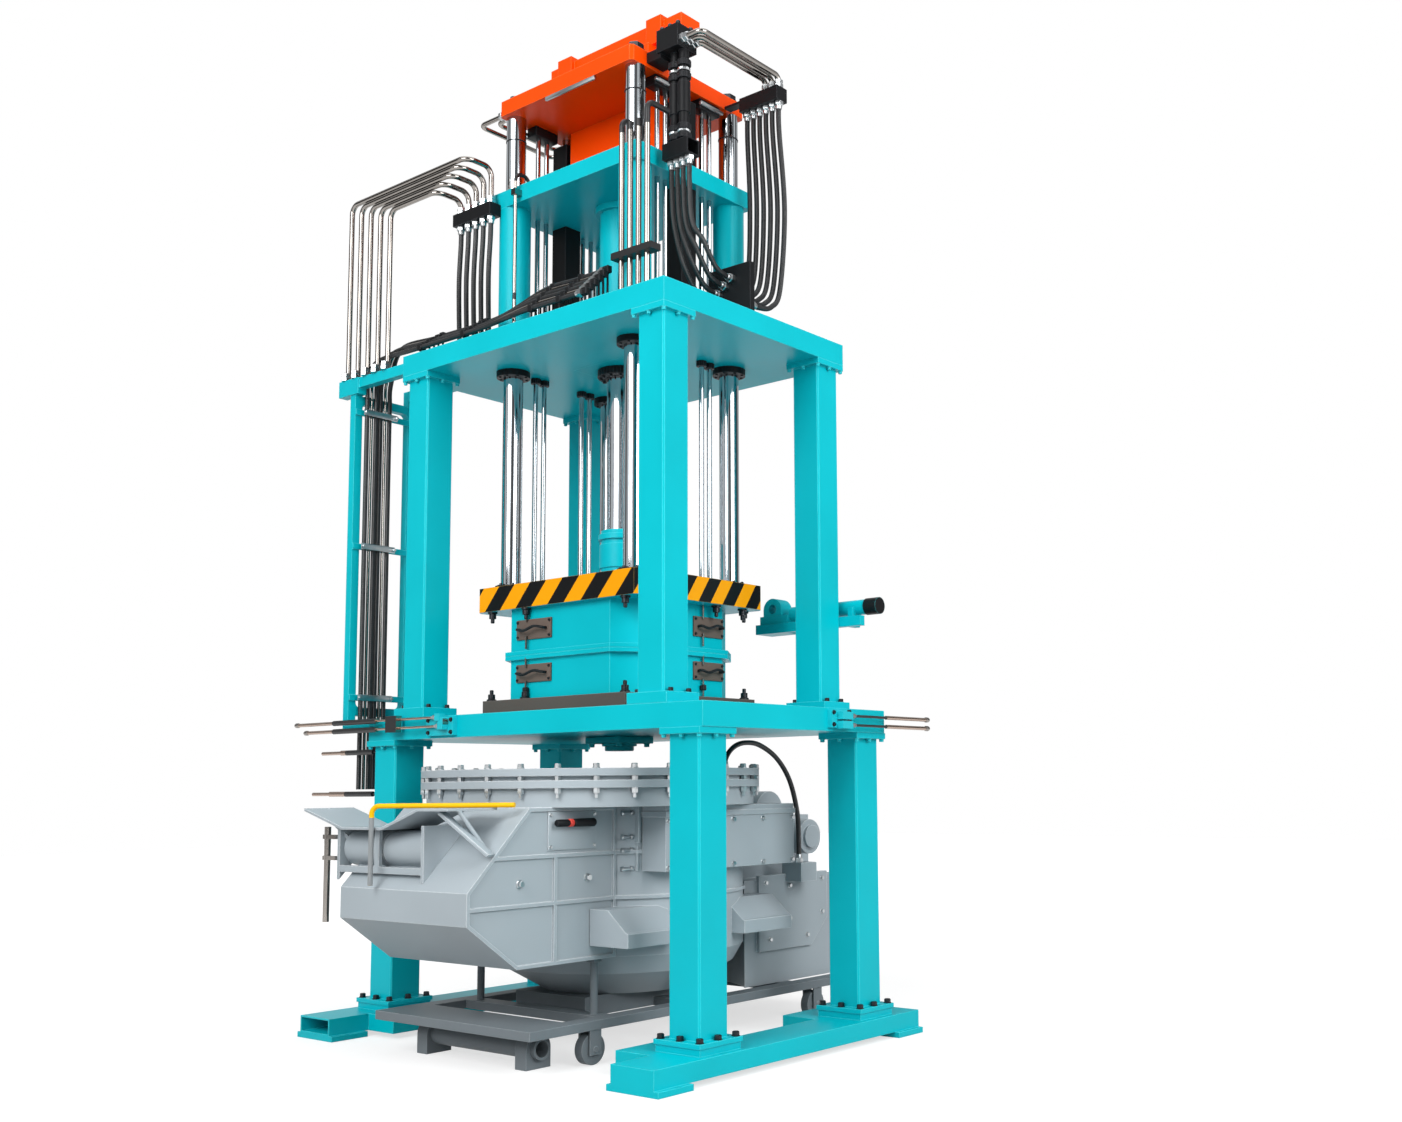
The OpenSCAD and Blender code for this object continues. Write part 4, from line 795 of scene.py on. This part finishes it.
# The drum in the charging spout: a shell of rolled steel sheet in the blue grey enamel, in two lengths
# with a groove between them. It is welded in behind the ledge and closes the spout.
profile = [(0.088, 0), (0.100, 0.012), (0.100, 0.360), (0.092, 0.362)]
profile += [(0.092, 0.376), (0.100, 0.378), (0.100, 0.724), (0.088, 0.735)]
drum = repeated(turned(profile, 40), [facing(at(-615.5, -1440, 1172), (1, 0, 0))])
done(drum, "spout_drum", "press_frame", grey)


# The struts of the charging trough: flat steel bars in the blue grey enamel. They are welded from its
# wings down to the sides of the nose.
def strut(start, end, width, thick):
    """A flat bar with round edges from one point to another."""
    span = end - start
    made = block(Vector((-width / 2, -thick / 2, 0)), Vector((width / 2, thick / 2, span.length)))
    return repeated(made, [facing(start, span)])


struts = [strut(at(290, -1560, 1372), at(556, -1450, 1150), 0.070, 0.018)]
struts += [strut(at(-700, -1560, 1330), at(-556, -1450, 1150), 0.060, 0.018)]
done(joined(struts), "trough_struts", "press_frame", grey)

# The handle over the spout: steel tube bent to a bow and hung on the charging cover. It is sprayed
# yellow along the trough and left grey where it hangs down.
# Yellow enamel: a warm signal yellow that ends in plain grey at the bend.
lower_arm = banded((2, 0, 1.345, "8a8f92"))
finish_in(enamel("yellow enamel", "f2b705", "ffd95c", pattern=lower_arm), "cover_handle")

# The carriage: welded steel bars with turned wheels, and a roller in saddles, that carry the furnace on
# the floor. All of it is in dark grey enamel.
# Dark grey enamel: a darker and duller grey than the furnace, so that the carriage falls back.
dark_grey = enamel("dark grey enamel", "737b80", "98a0a4", rough=0.5)
finish_in(dark_grey, "carriage", "carriage_wheels", "roller", "roller_saddles")

# The hose frame: bent square steel tube in cyan enamel, bolted to the left of the top platen. Plated
# steel straps with a screw at each end hold the hoses against it.
strap_rows = (2103, 3113, 4025)
finish_in(cyan, "hose_frame")
straps = repeated(slab(0.009, 0.260, 0.040, 0.002), standing([at(-1672.5, -625, z) for z in strap_rows]))
places = [facing(at(-1668, y, z), (1, 0, 0)) for z in strap_rows for y in (-745, -505)]
heads = repeated(bolt(0.020, 0.016), places)
done(joined([straps, heads]), "hose_straps", "press_frame", zinc)

# The loop hoses and the centre hoses: rubber hydraulic hose between the crosshead, which rises, and the
# bracket on the top platen. Each is crimped into a fitting at both ends and hangs free between them.
hose_d = 0.032
wrap_pitch = 0.012083
dust_size = 0.0714
# Hose rubber: soft black with a dull sheen; the wrapped cover leaves close rings round the hose.
rubber, tree, shader = begin("wrapped hose rubber")
place = add(tree, "TexCoord")["Object"]
# At scale 1 the wave texture runs through 20 radians in a metre.
wrapped = {"Vector": place, "Scale": 2 * math.pi / (20 * wrap_pitch), "Distortion": 0.4}
rings = add(tree, "TexWave", wrapped, bands_direction="Z")["Fac"]
dust = add(tree, "TexNoise", {"Vector": place, "Scale": 1 / dust_size, "Detail": 3})["Fac"]
cover = add(tree, "Mix", {0: dust, 6: linear("0b0c0d"), 7: linear("26282b")}, data_type="RGBA")[2]
wrap = add(tree, "Bump", {"Height": rings, "Strength": 0.35, "Distance": 0.002})[0]
shader.inputs["Roughness"].default_value = 0.42
tree.links.new(cover, shader.inputs["Base Color"])
tree.links.new(wrap, shader.inputs["Normal"])
fitting_places = {"press_frame": [], "moving_frame": []}


def free_hose(name, points, node, blend=False):
    """A free hose through points, with a fitting's place noted at both ends."""
    line = smooth(points)
    made = done(tube(line, hose_d), name, None if blend else "press_frame", rubber)
    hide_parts(node)
    if blend:
        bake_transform(made)
    fitting_places["moving_frame" if blend else "press_frame"].append(facing(line[0], line[1] - line[0]))
    fitting_places["press_frame"].append(facing(line[-1], line[-2] - line[-1]))


loop_top = 5780
for i, x in enumerate(loops):
    z = 4560 - 34 * i
    route = [(loop_y, loop_top), (loop_y, 5600), (370 + 6 * i, (loop_top + z) / 2), (loop_y, z + 174)]
    route += [(263, z + 34.8), (147, z), (60, z)]
    free_hose(f"loop_hose_{i + 1}", [at(x, y, h) for y, h in route], "loop_hoses", blend=True)
for i, far in enumerate(loops[:4]):
    x, z = 754 + 48 * i, 4440 + 40 * i
    route = [(x, thick_y, 5230), (x, thick_y, 5060), (x + 6, -300, 4830), (far, -240, z + 165)]
    route += [(far, -135, z + 38), (far, -50, z + 4), (far, 20, z)]
    free_hose(f"centre_hose_{i + 1}", [at(*p) for p in route], "centre_hoses", blend=True)

# The drop hoses from the left manifold to the top platen, and the hose over the furnace rings: the same
# wrapped rubber hose, held by its crimped fittings at both ends.
for i, x in enumerate(ports):
    foot = x - 120
    route = [(x, drop_y, 5170), (x, drop_y, 5050), (x - 40, -550, 4800)]
    route += [(foot, -480, 4510), (foot, -470, 4380), (foot, -470, top_platen_top)]
    free_hose(f"drop_hose_{i + 1}", [at(*p) for p in route], "drop_hoses")
route = [(279, ring_top), (312, 1682), (385, 1741), (490, 1766), (625, 1752)]
route += [(790, 1672), (920, 1530), (995, 1330), (1010, 1150), (1010, 1000)]
free_hose("furnace_hose_tube", [at(620, y, z) for y, z in route], "furnace_hose")

# The lines on the hose frame: four rubber hoses and two bent steel tubes, clipped along their whole run.
# They go up the frame and over the top platen, in steps that rise to the back.
line_y = -719
line_pitch = 35
line_shift = 45
line_end = 470
frame_x = -1694
lie_z, lie_step = 4342, 24
rise_z, rise_step = 4366, 36
for i in range(6):
    y, lie, rise = line_y + line_pitch * i, lie_z + lie_step * i, rise_z + rise_step * i
    over = y - line_shift
    route = [(frame_x, y, z) for z in (1500, 2000, 3700, 4085, 4125)]
    route += [(-1670, y - 10, 4255), (-1514, y - 40, lie), (-1100, over, lie), (-500, over, lie)]
    route += [(x, over, rise) for x in (-60, 240, line_end)]
    thick, material, slot = (0.022, drawn, "bright_steel") if i in (1, 4) else (hose_d, rubber, "rubber")
    made = tube(smooth([at(*p) for p in route]), thick)
    done(made, f"frame_line_{i + 1}", "press_frame", material)
    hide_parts("frame_hoses")
    fitting_places["press_frame"].append(facing(at(line_end, over, rise), (-1, 0, 0)))

# The clamps of these lines on the top platen: small steel blocks in black enamel, one round each line.
# They stand on thin posts that are screwed into the platen.
clamp_rows = [(x, lie_z, lie_step) for x in (-1060, -620)]
clamp_rows += [(x, rise_z, rise_step) for x in (20, 270, 492)]
first_y = line_y - line_shift
spots = [(x, first_y + line_pitch * i, base + step * i) for x, base, step in clamp_rows for i in range(6)]
clamps = [repeated(slab(0.040, 0.034, 0.042), standing([at(x, y, z + 1) for x, y, z in spots]))]
clamps += [block(at(x - 5, y - 5, top_platen_top), at(x + 5, y + 5, z - 19), 0.001) for x, y, z in spots]
done(joined(clamps), "line_clamps", "press_frame", black)

# The hose fittings: turned and zinc plated steel, a hexagon with a crimped sleeve behind it. One is
# screwed in at each hose end, on the press and on the crosshead.
hexagon = turned([(0.029, -0.002), (0.029, 0.024), (0.024, 0.028)], 6)
sleeve = turned([(0.0205, 0.02), (0.0205, 0.048), (0.0185, 0.052)], 14)
fitting = joined([hexagon, sleeve])
for body, places in fitting_places.items():
    done(repeated(copied(fitting), places), f"hose_fittings_{body}", body, zinc)
bpy.data.objects.remove(fitting)
